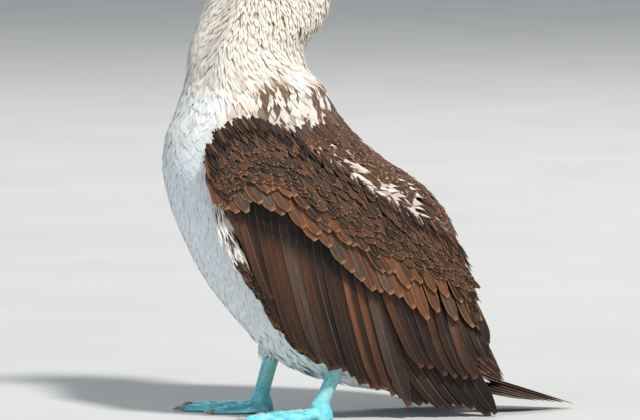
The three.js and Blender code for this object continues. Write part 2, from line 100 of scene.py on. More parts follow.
def spline(points: Array, at: Array) -> Array:
    """Runs a smooth Catmull-Rom curve through points, straight on past its first point.

    Args:
        points: The points, one a row.
        at: Where to read the curve, counted in points.

    Returns:
        One point for each place, in the last axis.
    """
    at = np.asarray(at, float)
    last = len(points) - 1
    inside = np.clip(at, 0, last)
    first = np.minimum(inside.astype(int), last - 1)
    t = (inside - first)[..., None]
    before, start, end, after = (points[np.clip(first + step, 0, last)] for step in (-1, 0, 1, 2))
    leave = (end - before) / 2
    arrive = (after - start) / 2
    cubic = 2 * start - 2 * end + leave + arrive
    square = 3 * end - 3 * start - 2 * leave - arrive
    past = (at - inside)[..., None] * (points[1] - points[0]) / 2
    return ((cubic * t + square) * t + leave) * t + start + np.where(at[..., None] < 0, past, 0)


def unit(vectors: Array) -> Array:
    """Brings vectors to length 1."""
    return vectors / np.maximum(np.linalg.norm(vectors, axis=-1, keepdims=True), 1e-9)


def blend(a: Array, b: Array, share: Array) -> Array:
    """Mixes rows a and b by each row's share of b."""
    share = np.clip(np.asarray(share, float), 0, 1)[..., None]
    return a * (1 - share) + b * share


def smooth_step(low: float, high: float, value: Array) -> Array:
    """Rises softly from 0 at low to 1 at high."""
    t = np.clip((value - low) / (high - low), 0, 1)
    return t * t * (3 - 2 * t)


def cloud(points: Array, size: float, seed: float = 0) -> Array:
    """Reads soft noise from about -0.5 to 0.5 at points, in patches of a size in millimetres."""
    return np.array([noise.noise(Vector(p) / size + Vector((seed, 0, 0))) for p in points])


def row_shares(rows: int, power: float = 1.35) -> Array:
    """Shares of a feather's length at its rows, closer together towards the tip."""
    return 1 - (1 - np.arange(rows + 1) / rows) ** power


def peak(value: Array, middle: float, width: float) -> Array:
    """A soft peak of height 1 where a value meets its middle."""
    return np.exp(-(((value - middle) / width) ** 2))


def circle(sides: int) -> Array:
    """Angles spread evenly round a circle, in radians."""
    return np.linspace(0, 2 * math.pi, sides, endpoint=False)


def points_at(x: Array, y: Array, z: Array) -> Array:
    """Joins coordinates into points."""
    return np.stack(np.broadcast_arrays(x, y, z), -1)


def headed(angle: Array, length: Array) -> Array:
    """Steps of a length at an angle, in side view."""
    return np.stack([np.cos(angle), np.sin(angle)], -1) * length[:, None]


def all_in(tone: Array, count: int) -> Array:
    """One tone for each of a number of points or feathers."""
    return np.repeat(tone[None], count, axis=0)


@dataclass(frozen=True)
class Station:
    """A section through body, neck or head, by its belly and back points in side view and its half width."""

    name: str
    belly: tuple[float, float]
    back: tuple[float, float]
    half_width: float


class BodyShape:
    """The smooth outer shape of body, neck and head, through named stations from tail root to bill."""

    STATIONS = (
        Station("tail root", (112, 20), (158, 62), 26),
        Station("vent", (42, 29), (150, 112), 44),
        Station("thighs", (-24, 55), (142, 171), 62),
        Station("belly", (-83, 117), (114, 213), 71),
        Station("keel", (-116, 177), (82, 236), 74),
        Station("breast", (-131, 226), (52, 260), 70),
        Station("shoulders", (-130, 262), (32, 285), 63),
        Station("neck root", (-119, 291), (20, 311), 54),
        Station("lower neck", (-110, 318), (3, 330), 47),
        Station("mid neck", (-107, 345), (3, 350), 43),
        Station("upper neck", (-98, 372), (19, 370), 41),
        Station("nape", (-87, 398), (25, 394), 38),
        Station("throat", (-79, 421), (17, 424), 34),
        Station("hind crown", (-79, 436), (1, 450), 31.5),
        Station("crown", (-84, 443), (-19, 471), 29),
        Station("forehead", (-90, 445.5), (-42, 484.5), 26.5),
        Station("brow", (-97, 446.5), (-64, 487), 23),
        Station("eyes", (-103, 447.5), (-82, 484), 19),
        Station("bill root", (-110, 449), (-95, 479), 13.5),
    )
    HALVINGS = 24

    def __init__(self) -> None:
        """Reads the stations into arrays."""
        self.belly = np.array([s.belly for s in self.STATIONS], float)
        self.back = np.array([s.back for s in self.STATIONS], float)
        self.widths = np.array([[s.half_width] for s in self.STATIONS], float)
        self.last = len(self.STATIONS) - 1

    def station(self, name: str) -> int:
        """The number of a named station."""
        return [s.name for s in self.STATIONS].index(name)

    def cut(self, along: Array) -> tuple[Array, ...]:
        """Cuts the body at places counted in stations.

        Args:
            along: The places.

        Returns:
            Each section's centre, way up, way towards the head, half depth and half width.
        """
        belly = spline(self.belly, along)
        back = spline(self.back, along)
        width = spline(self.widths, along)[..., 0]
        across = back - belly
        length = np.linalg.norm(across, axis=-1)
        flat = across / length[..., None]
        up = points_at(flat[..., 0], 0, flat[..., 1])
        ahead = points_at(-flat[..., 1], 0, flat[..., 0])
        middle = (belly + back) / 2
        centre = points_at(middle[..., 0], 0, middle[..., 1])
        return centre, up, ahead, length / 2, width

    def point(self, along: Array, turn: Array, grown: float | Array = 0) -> Array:
        """Finds points on the surface.

        Args:
            along: How far along the body, in stations.
            turn: The turn round it in radians: 0 on the back, positive on the right.
            grown: How far outside the surface.

        Returns:
            The points, in millimetres.
        """
        along, turn, grown = np.broadcast_arrays(along, turn, grown)
        centre, up, _, depth, width = self.cut(along)
        upwards = ((depth + grown) * np.cos(turn))[..., None]
        outwards = ((width + grown) * np.sin(turn))[..., None]
        return centre + up * upwards + SIDEWAYS * outwards

    def steps(self, along: Array, turn: Array) -> tuple[Array, Array]:
        """Finds how the surface point moves per station and per radian.

        Args:
            along: The places along the body, in stations.
            turn: Their turns round it, in radians.

        Returns:
            The move per station and the move per radian, in millimetres.
        """
        small = 0.03
        by_along = (self.point(along + small, turn) - self.point(along - small, turn)) / (2 * small)
        by_turn = (self.point(along, turn + small) - self.point(along, turn - small)) / (2 * small)
        return by_along, by_turn

    def out(self, along: Array, turn: Array) -> Array:
        """Finds the way out of the surface.

        Args:
            along: The places along the body, in stations.
            turn: Their turns round it, in radians.

        Returns:
            Vectors of length 1.
        """
        by_along, by_turn = self.steps(along, turn)
        normal = unit(np.cross(by_turn, by_along))
        centre = self.cut(along)[0]
        away = self.point(along, turn) - centre
        return normal * np.where(np.sum(normal * away, -1, keepdims=True) < 0, -1, 1)

    def through(self, x: Array, z: Array) -> Array:
        """Finds the body sections that run through points in side view.

        Args:
            x: The points' places from front to back, in millimetres.
            z: Their heights.

        Returns:
            The sections' places, in stations.
        """
        low = np.zeros_like(x, dtype=float)
        high = np.full_like(low, self.station("neck root"))
        for _ in range(self.HALVINGS):
            middle = (low + high) / 2
            centre, _, ahead, _, _ = self.cut(middle)
            before = (x - centre[..., 0]) * ahead[..., 0] + (z - centre[..., 2]) * ahead[..., 2] > 0
            low = np.where(before, middle, low)
            high = np.where(before, high, middle)
        return (low + high) / 2


BODY = BodyShape()


class WingSheet:
    """The curved sheet that a folded wing lies on, as distances out from the middle plane in side view."""

    STANDS = 9.0
    TIP_SPREAD = 40.0
    LEAST_DEPTH = 80.0
    HANG_BEHIND = 0.5
    HANG_WRIST = 0.85
    STRAIGHT_FROM = 0.75

    def distance(self, x: Array, z: Array) -> Array:
        """Finds how far out from the middle plane the sheet lies.

        Args:
            x: The places from front to back in side view, in millimetres.
            z: Their heights.

        Returns:
            The distances, in millimetres.
        """
        at = BODY.through(x, z)
        centre, up, _, half_depth, half_width = BODY.cut(at)
        width = np.maximum(half_width, self.TIP_SPREAD) + self.STANDS
        depth = np.maximum(half_depth, self.LEAST_DEPTH) + self.STANDS
        above = ((x - centre[..., 0]) * up[..., 0] + (z - centre[..., 2]) * up[..., 2]) / depth
        near = np.minimum(1, at / BODY.station("shoulders"))
        hang = self.HANG_BEHIND + (self.HANG_WRIST - self.HANG_BEHIND) * near
        share = np.where(above > 0, above, -above * hang)
        bend = math.sqrt(1 - self.STRAIGHT_FROM**2)
        round_part = np.sqrt(1 - np.minimum(share, self.STRAIGHT_FROM) ** 2)
        straight = self.STRAIGHT_FROM / bend * np.maximum(0, share - self.STRAIGHT_FROM)
        return width * (round_part - straight)

    def point(self, x: Array, z: Array, outwards: float | Array, side: Side) -> Array:
        """A place on one wing's sheet, moved outwards, in millimetres."""
        return points_at(x, side.value * (self.distance(x, z) + outwards), z)

    def out(self, x: Array, z: Array, side: Side) -> Array:
        """Finds the way out of the sheet.

        Args:
            x: The places from front to back in side view, in millimetres.
            z: Their heights.
            side: The wing's side.

        Returns:
            Vectors of length 1.
        """
        small = 1.5
        slope_x = (self.distance(x + small, z) - self.distance(x - small, z)) / (2 * small)
        slope_z = (self.distance(x, z + small) - self.distance(x, z - small)) / (2 * small)
        return unit(np.stack([-slope_x, np.full_like(slope_x, side.value), -slope_z], -1))


SHEET = WingSheet()


class Rim(Enum):
    """Where a feather's fringe shows."""

    SIDES = "sides"
    ROUND = "round"
    STREAK = "streak"


class Shader:
    """Builds the nodes of one material."""

    def __init__(self, name: str) -> None:
        """Starts a material with one plain shader.

        Args:
            name: The material's name.
        """
        self.material = bpy.data.materials.new(name)
        self.material.use_nodes = True
        self.tree = self.material.node_tree
        self.tree.nodes.clear()
        self.surface = self.tree.nodes.new("ShaderNodeBsdfPrincipled")
        output = self.tree.nodes.new("ShaderNodeOutputMaterial")
        self.tree.links.new(self.surface.outputs["BSDF"], output.inputs["Surface"])

    def node(self, kind: str, settings: dict | None = None, inputs: dict | None = None) -> bpy.types.Node:
        """Adds a node.

        Args:
            kind: The node's type, after "ShaderNode".
            settings: Its own properties.
            inputs: Its inputs by name or number, each a plain value or another node's output.

        Returns:
            The node.
        """
        made = self.tree.nodes.new("ShaderNode" + kind)
        for key, value in (settings or {}).items():
            setattr(made, key, value)
        for key, value in (inputs or {}).items():
            self.feed(made.inputs[key], value)
        return made

    def feed(self, socket: Socket, value: object) -> None:
        """Links or sets one input.

        Args:
            socket: The input.
            value: A plain value or another node's output.
        """
        if isinstance(value, Socket):
            self.tree.links.new(value, socket)
        else:
            socket.default_value = value

    def maths(self, operation: str, *values: object) -> Socket:
        """Works out one number from others."""
        made = self.node("Math", {"operation": operation}, dict(enumerate(values)))
        return made.outputs[0]

    def rise(self, value: object, low: float, high: float, to_low: float = 0, to_high: float = 1) -> object:
        """Maps a number softly from one range to another."""
        inputs = {"Value": value, 1: low, 2: high, 3: to_low, 4: to_high}
        return self.node("MapRange", {"interpolation_type": "SMOOTHSTEP"}, inputs).outputs[0]

    def mix(self, share: object, a: object, b: object, how: str = "MIX") -> Socket:
        """Mixes two colours."""
        made = self.node("Mix", {"data_type": "RGBA", "blend_type": how}, {0: share, 6: a, 7: b})
        return made.outputs[2]

    def attribute(self, name: str) -> bpy.types.Node:
        """Reads one of the mesh's own attributes."""
        return self.node("Attribute", {"attribute_name": name})

    def tinted(self, shade: object) -> Socket:
        """Darkens or lightens the mesh's own tint."""
        return self.mix(1.0, self.attribute("Tint").outputs["Color"], shade, "MULTIPLY")

    def place(self) -> Socket:
        """Reads the place on the object, in metres."""
        return self.node("TexCoord").outputs["Object"]

    def noise(self, where: object, scale: float, detail: float = 3, roughness: float = 0.55) -> object:
        """Reads noise about 0.5."""
        inputs = {"Vector": where, "Scale": scale, "Detail": detail, "Roughness": roughness}
        return self.node("TexNoise", None, inputs).outputs["Fac"]

    def cells(self, where: object, scale: float, feature: str = "DISTANCE_TO_EDGE") -> object:
        """Reads the distance to the edges or middles of small cells."""
        made = self.node("TexVoronoi", {"feature": feature}, {"Vector": where, "Scale": scale})
        return made.outputs["Distance"]

    def stretched(self, where: object, scale: tuple[float, float, float], turn_y: float = 0) -> object:
        """Turns a place about Y and stretches it."""
        inputs = {"Vector": where, "Rotation": (0, turn_y, 0), "Scale": scale}
        return self.node("Mapping", None, inputs).outputs[0]

    def rough(self, height: object, strength: float, distance: float) -> None:
        """Gives the surface small bumps."""
        bump = self.node("Bump", None, {"Height": height, "Strength": strength, "Distance": distance})
        self.feed(self.surface.inputs["Normal"], bump.outputs[0])

    def dress(self, colour: object, **sockets: object) -> Material:
        """Sets the colour and the shader's other inputs.

        Args:
            colour: The surface's colour.
            sockets: The other inputs, with _ for each space in their names.

        Returns:
            The finished material.
        """
        self.feed(self.surface.inputs["Base Color"], colour)
        for key, value in sockets.items():
            self.feed(self.surface.inputs[key.replace("_", " ")], value)
        return self.material


@dataclass(frozen=True)
class PlumageFinish:
    """Feathers with barbs, a shaft and a fringe, coloured by their own attributes."""

    name: str
    slot: str
    rim: Rim = Rim.ROUND
    fringe_from: float = 0.7
    barb_contrast: float = 0.25
    barbs: float = 26
    shaft: float = 0.0
    shaft_at: float = 0.5
    # Painted light along the vane's first edge and painted shade along its other edge, which lies under the
    # next feather.
    lit_edge: float = 0.0
    shaft_tone: tuple[float, float, float, float] = (0.2, 0.13, 0.085, 1)
    roughness: float = 0.72
    sheen: float = 0.06
    # Where the painted shadow under the coverts ends on a flight feather, as a share of its length; 0 for
    # none.
    dark_root: float = 0.0
    bump: float = 0.35

    def make(self) -> Material:
        """Builds the material.

        Returns:
            The material.
        """
        shader = Shader(self.name)
        split = shader.node("SeparateXYZ", None, {0: shader.node("UVMap", {"uv_map": "Feather"}).outputs[0]})
        across = shader.maths("ABSOLUTE", shader.maths("MULTIPLY_ADD", split.outputs[0], 2.0, -1.0))
        along = split.outputs[1]
        chance = shader.attribute("Chance").outputs["Fac"]
        slanted = shader.maths("MULTIPLY_ADD", across, -0.22, along)
        where = shader.node("CombineXYZ", None, {
            0: shader.maths("MULTIPLY", split.outputs[0], 5.0),
            1: shader.maths("MULTIPLY", slanted, self.barbs),
            2: shader.maths("MULTIPLY", chance, 61.0),
        }).outputs[0]
        barbs = shader.noise(where, 1.0, 4, 0.65)
        streaks = shader.noise(shader.stretched(where, (1.6, 0.06, 1)), 1.0, 2, 0.5)
        grain = shader.maths("ADD", barbs, streaks)
        shade = shader.rise(grain, 0.7, 1.3, 1 - self.barb_contrast, 1 + self.barb_contrast)
        if self.lit_edge:
            # Painted light and shade across the vane: lighter at its first edge, darker at its other.
            lit = shader.rise(split.outputs[0], 0.0, 0.6, 1 + self.lit_edge, 1 - self.lit_edge)
            shade = shader.maths("MULTIPLY", shade, lit)
        if self.dark_root:
            # Painted shadow over the root, where the coverts above shade it. Towards the tip the vane
            # darkens, partly its own tone and partly painted shade.
            root = shader.rise(along, self.dark_root - 0.14, self.dark_root, 0.12, 1.0)
            tip = shader.rise(along, 0.4, 1.0, 1.05, 0.42)
            shade = shader.maths("MULTIPLY", shade, shader.maths("MULTIPLY", root, tip))
        tint = shader.tinted(shade)
        edge = across
        if self.rim is Rim.ROUND:
            edge = shader.maths("MAXIMUM", across, shader.rise(along, 0.62, 1.04))
        if self.rim is Rim.STREAK:
            edge = shader.maths("MAXIMUM", across, shader.rise(along, 0.4, 0.78, 1.0, 0.0))
        ragged = shader.maths("MULTIPLY_ADD", barbs, 0.3, shader.maths("SUBTRACT", edge, 0.15))
        fringe = shader.rise(ragged, self.fringe_from, min(1.0, self.fringe_from + 0.22))
        colour = shader.mix(fringe, tint, shader.attribute("Fringe").outputs["Color"])
        if self.shaft:
            aside = shader.maths("ABSOLUTE", shader.maths("SUBTRACT", split.outputs[0], self.shaft_at))
            line = shader.rise(aside, self.shaft / 2, self.shaft * 1.2, 0.6, 0)
            if self.dark_root:
                # The shaft fades out inside the painted root shadow, and on some feathers at random.
                clear = shader.rise(along, self.dark_root - 0.06, self.dark_root + 0.1)
                clear = shader.maths("MULTIPLY", clear, shader.rise(chance, 0.1, 0.9))
                line = shader.maths("MULTIPLY", line, clear)
            colour = shader.mix(line, colour, self.shaft_tone)
        shader.rough(grain, self.bump, 0.0004)
        return shader.dress(
            colour, Roughness=self.roughness, Specular_IOR_Level=0.3,
            Sheen_Weight=self.sheen, Sheen_Roughness=0.5,
        )


@dataclass(frozen=True)
class SkinFinish:
    """Scaled, creased bare skin, coloured by its own attribute."""

    name: str
    slot: str
    scale: float = 900
    crease: float = 0.5
    roughness: float = 0.42
    lines: tuple[float, float, float] = (1, 1, 1)

    def make(self) -> Material:
        """Builds the material.

        Returns:
            The material.
        """
        shader = Shader(self.name)
        place = shader.place()
        broad = shader.noise(place, 45, 3)
        scales = shader.cells(shader.stretched(place, self.lines), self.scale)
        pits = shader.rise(scales, 0.0, 0.14)
        soft = shader.rise(broad, 0.3, 0.72, 0.85, 1.15)
        shade = shader.maths("MULTIPLY", soft, shader.rise(scales, -0.05, 0.2, 0.5, 1.1))
        colour = shader.tinted(shade)
        fine = shader.noise(shader.stretched(place, (1, 1, 0.4)), 700, 3)
        height = shader.maths("MULTIPLY_ADD", fine, 0.4, pits)
        shader.rough(height, self.crease, 0.0005)
        rough = shader.rise(broad, 0.2, 0.8, self.roughness - 0.06, self.roughness + 0.1)
        return shader.dress(
            colour, Roughness=rough, Specular_IOR_Level=0.4,
            Subsurface_Weight=0.08, Subsurface_Scale=0.002,
        )


@dataclass(frozen=True)
class HornFinish:
    """Smooth horn with fine lengthwise grain and a second tone in soft patches."""

    name: str
    slot: str
    tone: tuple[float, float, float, float]
    second: tuple[float, float, float, float]
    grain: tuple[float, float, float] = (60, 700, 700)
    roughness: float = 0.46

    def make(self) -> Material:
        """Builds the material.

        Returns:
            The material.
        """
        shader = Shader(self.name)
        place = shader.place()
        fibres = shader.noise(shader.stretched(place, self.grain), 1.0, 4, 0.6)
        patches = shader.noise(place, 60, 3)
        share = shader.rise(shader.maths("MULTIPLY_ADD", fibres, 0.35, patches), 0.5, 0.85)
        shader.rough(fibres, 0.3, 0.0003)
        rough = shader.rise(fibres, 0.3, 0.7, self.roughness - 0.05, self.roughness + 0.12)
        colour = shader.mix(share, self.tone, self.second)
        return shader.dress(colour, Roughness=rough, Specular_IOR_Level=0.4)


@dataclass(frozen=True)
class VaneForm:
    """The form shared by a kind of feather: a flat, closed vane with shares of its width at even steps."""

    sides: int = 4
    rows: int = 6
    widths: tuple[float, ...] = (0.25, 0.7, 0.95, 1.0, 0.85, 0.12)
    thickness: float = 0.5
    camber: float = 0.0
    tilt: float = 0.0

    def shares(self) -> Array:
        """Shares of the length at the vane's rows."""
        return row_shares(self.rows)

    def profile(self) -> Array:
        """Shares of the half width at the vane's rows."""
        at = self.shares() * (len(self.widths) - 1)
        return np.maximum(0.04, spline(np.array(self.widths, float)[:, None], at)[:, 0])

    def template(self) -> tuple[Array, list[list[int]]]:
        """Makes one straight vane.

        Returns:
            Its points, as across from -1 to 1, share of the thickness and row, and its faces.
        """
        bm = bmesh.new()
        bmesh.ops.create_circle(bm, cap_ends=True, cap_tris=self.sides > 4, segments=self.sides, radius=1)
        if self.sides % 4:
            bmesh.ops.rotate(bm, verts=bm.verts, matrix=Matrix.Rotation(math.pi / 2, 3, "Z"))
        front = list(bm.faces)
        for _ in range(self.rows):
            made = bmesh.ops.extrude_face_region(bm, geom=front, use_keep_orig=front == list(bm.faces))
            moved = [item for item in made["geom"] if isinstance(item, bmesh.types.BMVert)]
            bmesh.ops.translate(bm, verts=moved, vec=(0, 0, 1))
            front = [item for item in made["geom"] if isinstance(item, bmesh.types.BMFace)]
        bmesh.ops.recalc_face_normals(bm, faces=bm.faces)
        bm.verts.index_update()
        points = np.array([v.co for v in bm.verts])
        faces = [[v.index for v in face.verts] for face in bm.faces]
        bm.free()
        return points, faces


@dataclass
class Rails:
    """The centre lines that a set of feathers follows, and what each feather has of its own."""

    centre: Array
    out: Array
    half_width: Array
    tint: Array
    fringe: Array
    place: Array
    patch: tuple[float, float] = (TUFT_PATCH, TUFT_PATCH)
    roll: Array = field(default_factory=lambda: np.zeros(1))

    def count(self) -> int:
        """The number of feathers."""
        return len(self.centre)


class Studio:
    """Puts finished pieces into the scene, in the part's frame."""

    EYE_X = -84.0
    LEAST_HEIGHT = 0.4
    THINNER_TIP = 0.45
    SHARP_DEGREES = 60

    def __init__(self, seed: int) -> None:
        """Finds the part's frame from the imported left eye.

        Args:
            seed: The seed of the random draws.
        """
        low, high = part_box("eye_left")
        self.shift = (low.x + high.x) / 2 / MM - self.EYE_X
        self.random = np.random.default_rng(seed)

    def metres(self, points: Array) -> Array:
        """Moves drawn points, in millimetres, to the part's frame, in metres."""
        return (points + np.array([self.shift, 0, 0])) * MM

    def drawn(self, mesh: Mesh) -> Array:
        """Reads a mesh's points back as drawn, in millimetres."""
        return points_of(mesh) / MM - np.array([self.shift, 0, 0])

    def keep(
        self, name: str, mesh: Mesh, material: Material, slot: str, *replaced: str
    ) -> bpy.types.Object:
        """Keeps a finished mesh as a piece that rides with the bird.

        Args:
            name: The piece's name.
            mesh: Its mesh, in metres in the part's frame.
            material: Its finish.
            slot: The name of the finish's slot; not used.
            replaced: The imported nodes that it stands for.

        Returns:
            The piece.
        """
        mesh.materials.clear()
        mesh.materials.append(material)
        piece = bpy.data.objects.new(name, mesh)
        bpy.context.scene.collection.objects.link(piece)
        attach(piece, ROOT_BODY)
        if replaced:
            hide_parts(*replaced)
        LOG.info("%s: %d faces", name, len(mesh.polygons))
        return piece

    def smooth(self, mesh: Mesh, sharp_degrees: float | None = None) -> None:
        """Shades a mesh smooth.

        Args:
            mesh: The mesh.
            sharp_degrees: Where it turns by more than this it stays sharp.
        """
        mesh.polygons.foreach_set("use_smooth", np.ones(len(mesh.polygons), bool))
        if sharp_degrees is not None:
            mesh.set_sharp_from_angle(angle=math.radians(sharp_degrees))

    def feathers(self, name: str, form: VaneForm, rails: Rails, mirrored: bool = False) -> Mesh:
        """Joins a set of feathers into one mesh with its colours and its two UV maps.

        Args:
            name: The mesh's name.
            form: The feathers' form.
            rails: Where they run.
            mirrored: True where the feathers' first edge is the other one, as on the right wing.

        Returns:
            The mesh, in metres in the part's frame.
        """
        points, faces = form.template()
        row = np.rint(points[:, 2]).astype(int)
        across, thick = points[:, 0], points[:, 1]
        shares, profile = form.shares(), form.profile()
        taper = 1 - self.THINNER_TIP * shares
        along = unit(np.gradient(rails.centre, axis=1))
        out = unit(rails.out - np.sum(rails.out * along, -1, keepdims=True) * along)
        sideways = np.cross(out, along)
        wide = rails.half_width[:, None] * profile[row] * across
        roll = form.tilt + np.broadcast_to(rails.roll, rails.half_width.shape)
        lift = thick * form.thickness / 2 * taper[row] - form.camber * across**2 * profile[row]
        lift = lift[None] - roll[:, None] * across * profile[row]
        made = rails.centre[:, row] + sideways[:, row] * wide[..., None] + out[:, row] * lift[..., None]
        made[..., 2] = np.maximum(made[..., 2], self.LEAST_HEIGHT)
        count, size = rails.count(), len(points)
        flat = np.concatenate([np.array(face) for face in faces])
        lengths = np.array([len(face) for face in faces])
        corner = (flat[None] + size * np.arange(count)[:, None]).ravel()
        starts = np.concatenate([[0], np.cumsum(np.tile(lengths, count))[:-1]])
        mesh = bpy.data.meshes.new(name)
        mesh.vertices.add(count * size)
        mesh.vertices.foreach_set("co", self.metres(made).astype(np.float32).ravel())
        mesh.loops.add(len(corner))
        mesh.loops.foreach_set("vertex_index", corner.astype(np.int32))
        mesh.polygons.add(len(starts))
        mesh.polygons.foreach_set("loop_start", starts.astype(np.int32))
        mesh.update(calc_edges=True)
        corner = np.empty(len(mesh.loops), np.int32)
        mesh.loops.foreach_get("vertex_index", corner)
        feather_uv = np.stack([(-across if mirrored else across) / 2 + 0.5, shares[row]], -1)
        self.map_on(mesh, "Feather", np.tile(feather_uv, (count, 1))[corner])
        patch = (feather_uv - 0.5) * np.array(rails.patch)
        self.map_on(mesh, "OFBake", (rails.place[:, None] + patch[None]).reshape(-1, 2)[corner])
        self.colour(mesh, "Tint", np.repeat(rails.tint, size, axis=0))
        self.colour(mesh, "Fringe", np.repeat(rails.fringe, size, axis=0))
        chance = mesh.attributes.new("Chance", "FLOAT", "POINT")
        chance.data.foreach_set("value", np.repeat(self.random.random(count), size).astype(np.float32))
        self.smooth(mesh, self.SHARP_DEGREES)
        return mesh

    def map_on(self, mesh: Mesh, name: str, places: Array) -> None:
        """Gives a mesh a UV map with a place for each corner."""
        layer = mesh.uv_layers.new(name=name)
        layer.data.foreach_set("uv", places.astype(np.float32).ravel())

    def colour(self, mesh: Mesh, name: str, tones: Array) -> None:
        """Gives a mesh a colour for each point."""
        layer = mesh.color_attributes.new(name, "FLOAT_COLOR", "POINT")
        layer.data.foreach_set("color", np.c_[tones, np.ones(len(tones))].astype(np.float32).ravel())

    def rings(self, name: str, rings: Array, capped: bool = True) -> Mesh:
        """Lofts closed rings of points into one closed skin.

        Args:
            name: The mesh's name.
            rings: The rings' points in millimetres, as ring, point and coordinate.
            capped: True where the ends are closed.

        Returns:
            The mesh, in metres in the part's frame.
        """
        bm = bmesh.new()
        placed = self.metres(rings)
        edges = []
        for ring in placed:
            verts = bmesh.ops.create_circle(bm, segments=len(ring), radius=1)["verts"]
            for vert, place in zip(verts, ring):
                vert.co = place
            edges.append([bm.edges.get((a, b)) for a, b in zip(verts, verts[1:] + verts[:1])])
        for first, second in zip(edges, edges[1:]):
            bmesh.ops.bridge_loops(bm, edges=first + second)
        if capped:
            for end in (edges[0], edges[-1]):
                bmesh.ops.edgeloop_fill(bm, edges=end)
        bmesh.ops.recalc_face_normals(bm, faces=bm.faces)
        mesh = bpy.data.meshes.new(name)
        bm.to_mesh(mesh)
        bm.free()
        self.smooth(mesh)
        return mesh

    def remesh(self, name: str, meshes: list[Mesh], voxel: float, rounds: int) -> Mesh:
        """Fuses closed meshes into one smooth skin.

        Args:
            name: The new mesh's name.
            meshes: The meshes, in metres.
            voxel: The size of the steps, in millimetres.
            rounds: How often the skin is smoothed.

        Returns:
            The fused mesh.
        """
        bm = bmesh.new()
        for mesh in meshes:
            bm.from_mesh(mesh)
        bmesh.ops.remove_doubles(bm, verts=bm.verts, dist=1e-6)
        joined = bpy.data.meshes.new(name)
        bm.to_mesh(joined)
        bm.free()
        holder = bpy.data.objects.new(name, joined)
        bpy.context.scene.collection.objects.link(holder)
        modifier = holder.modifiers.new("fuse", "REMESH")
        modifier.mode = "VOXEL"
        modifier.voxel_size = voxel * MM
        depsgraph = bpy.context.evaluated_depsgraph_get()
        fused = bpy.data.meshes.new_from_object(holder.evaluated_get(depsgraph))
        bpy.data.objects.remove(holder)
        bm = bmesh.new()
        bm.from_mesh(fused)
        for _ in range(rounds):
            bmesh.ops.smooth_vert(
                bm, verts=bm.verts, factor=0.5, use_axis_x=True, use_axis_y=True, use_axis_z=True
            )
        bm.to_mesh(fused)
        bm.free()
        self.smooth(fused)
        return fused


def points_of(mesh: Mesh) -> Array:
    """Reads a mesh's points.

    Args:
        mesh: The mesh.

    Returns:
        The points, one a row, in its own units.
    """
    flat = np.empty(len(mesh.vertices) * 3)
    mesh.vertices.foreach_get("co", flat)
    return flat.reshape(-1, 3)


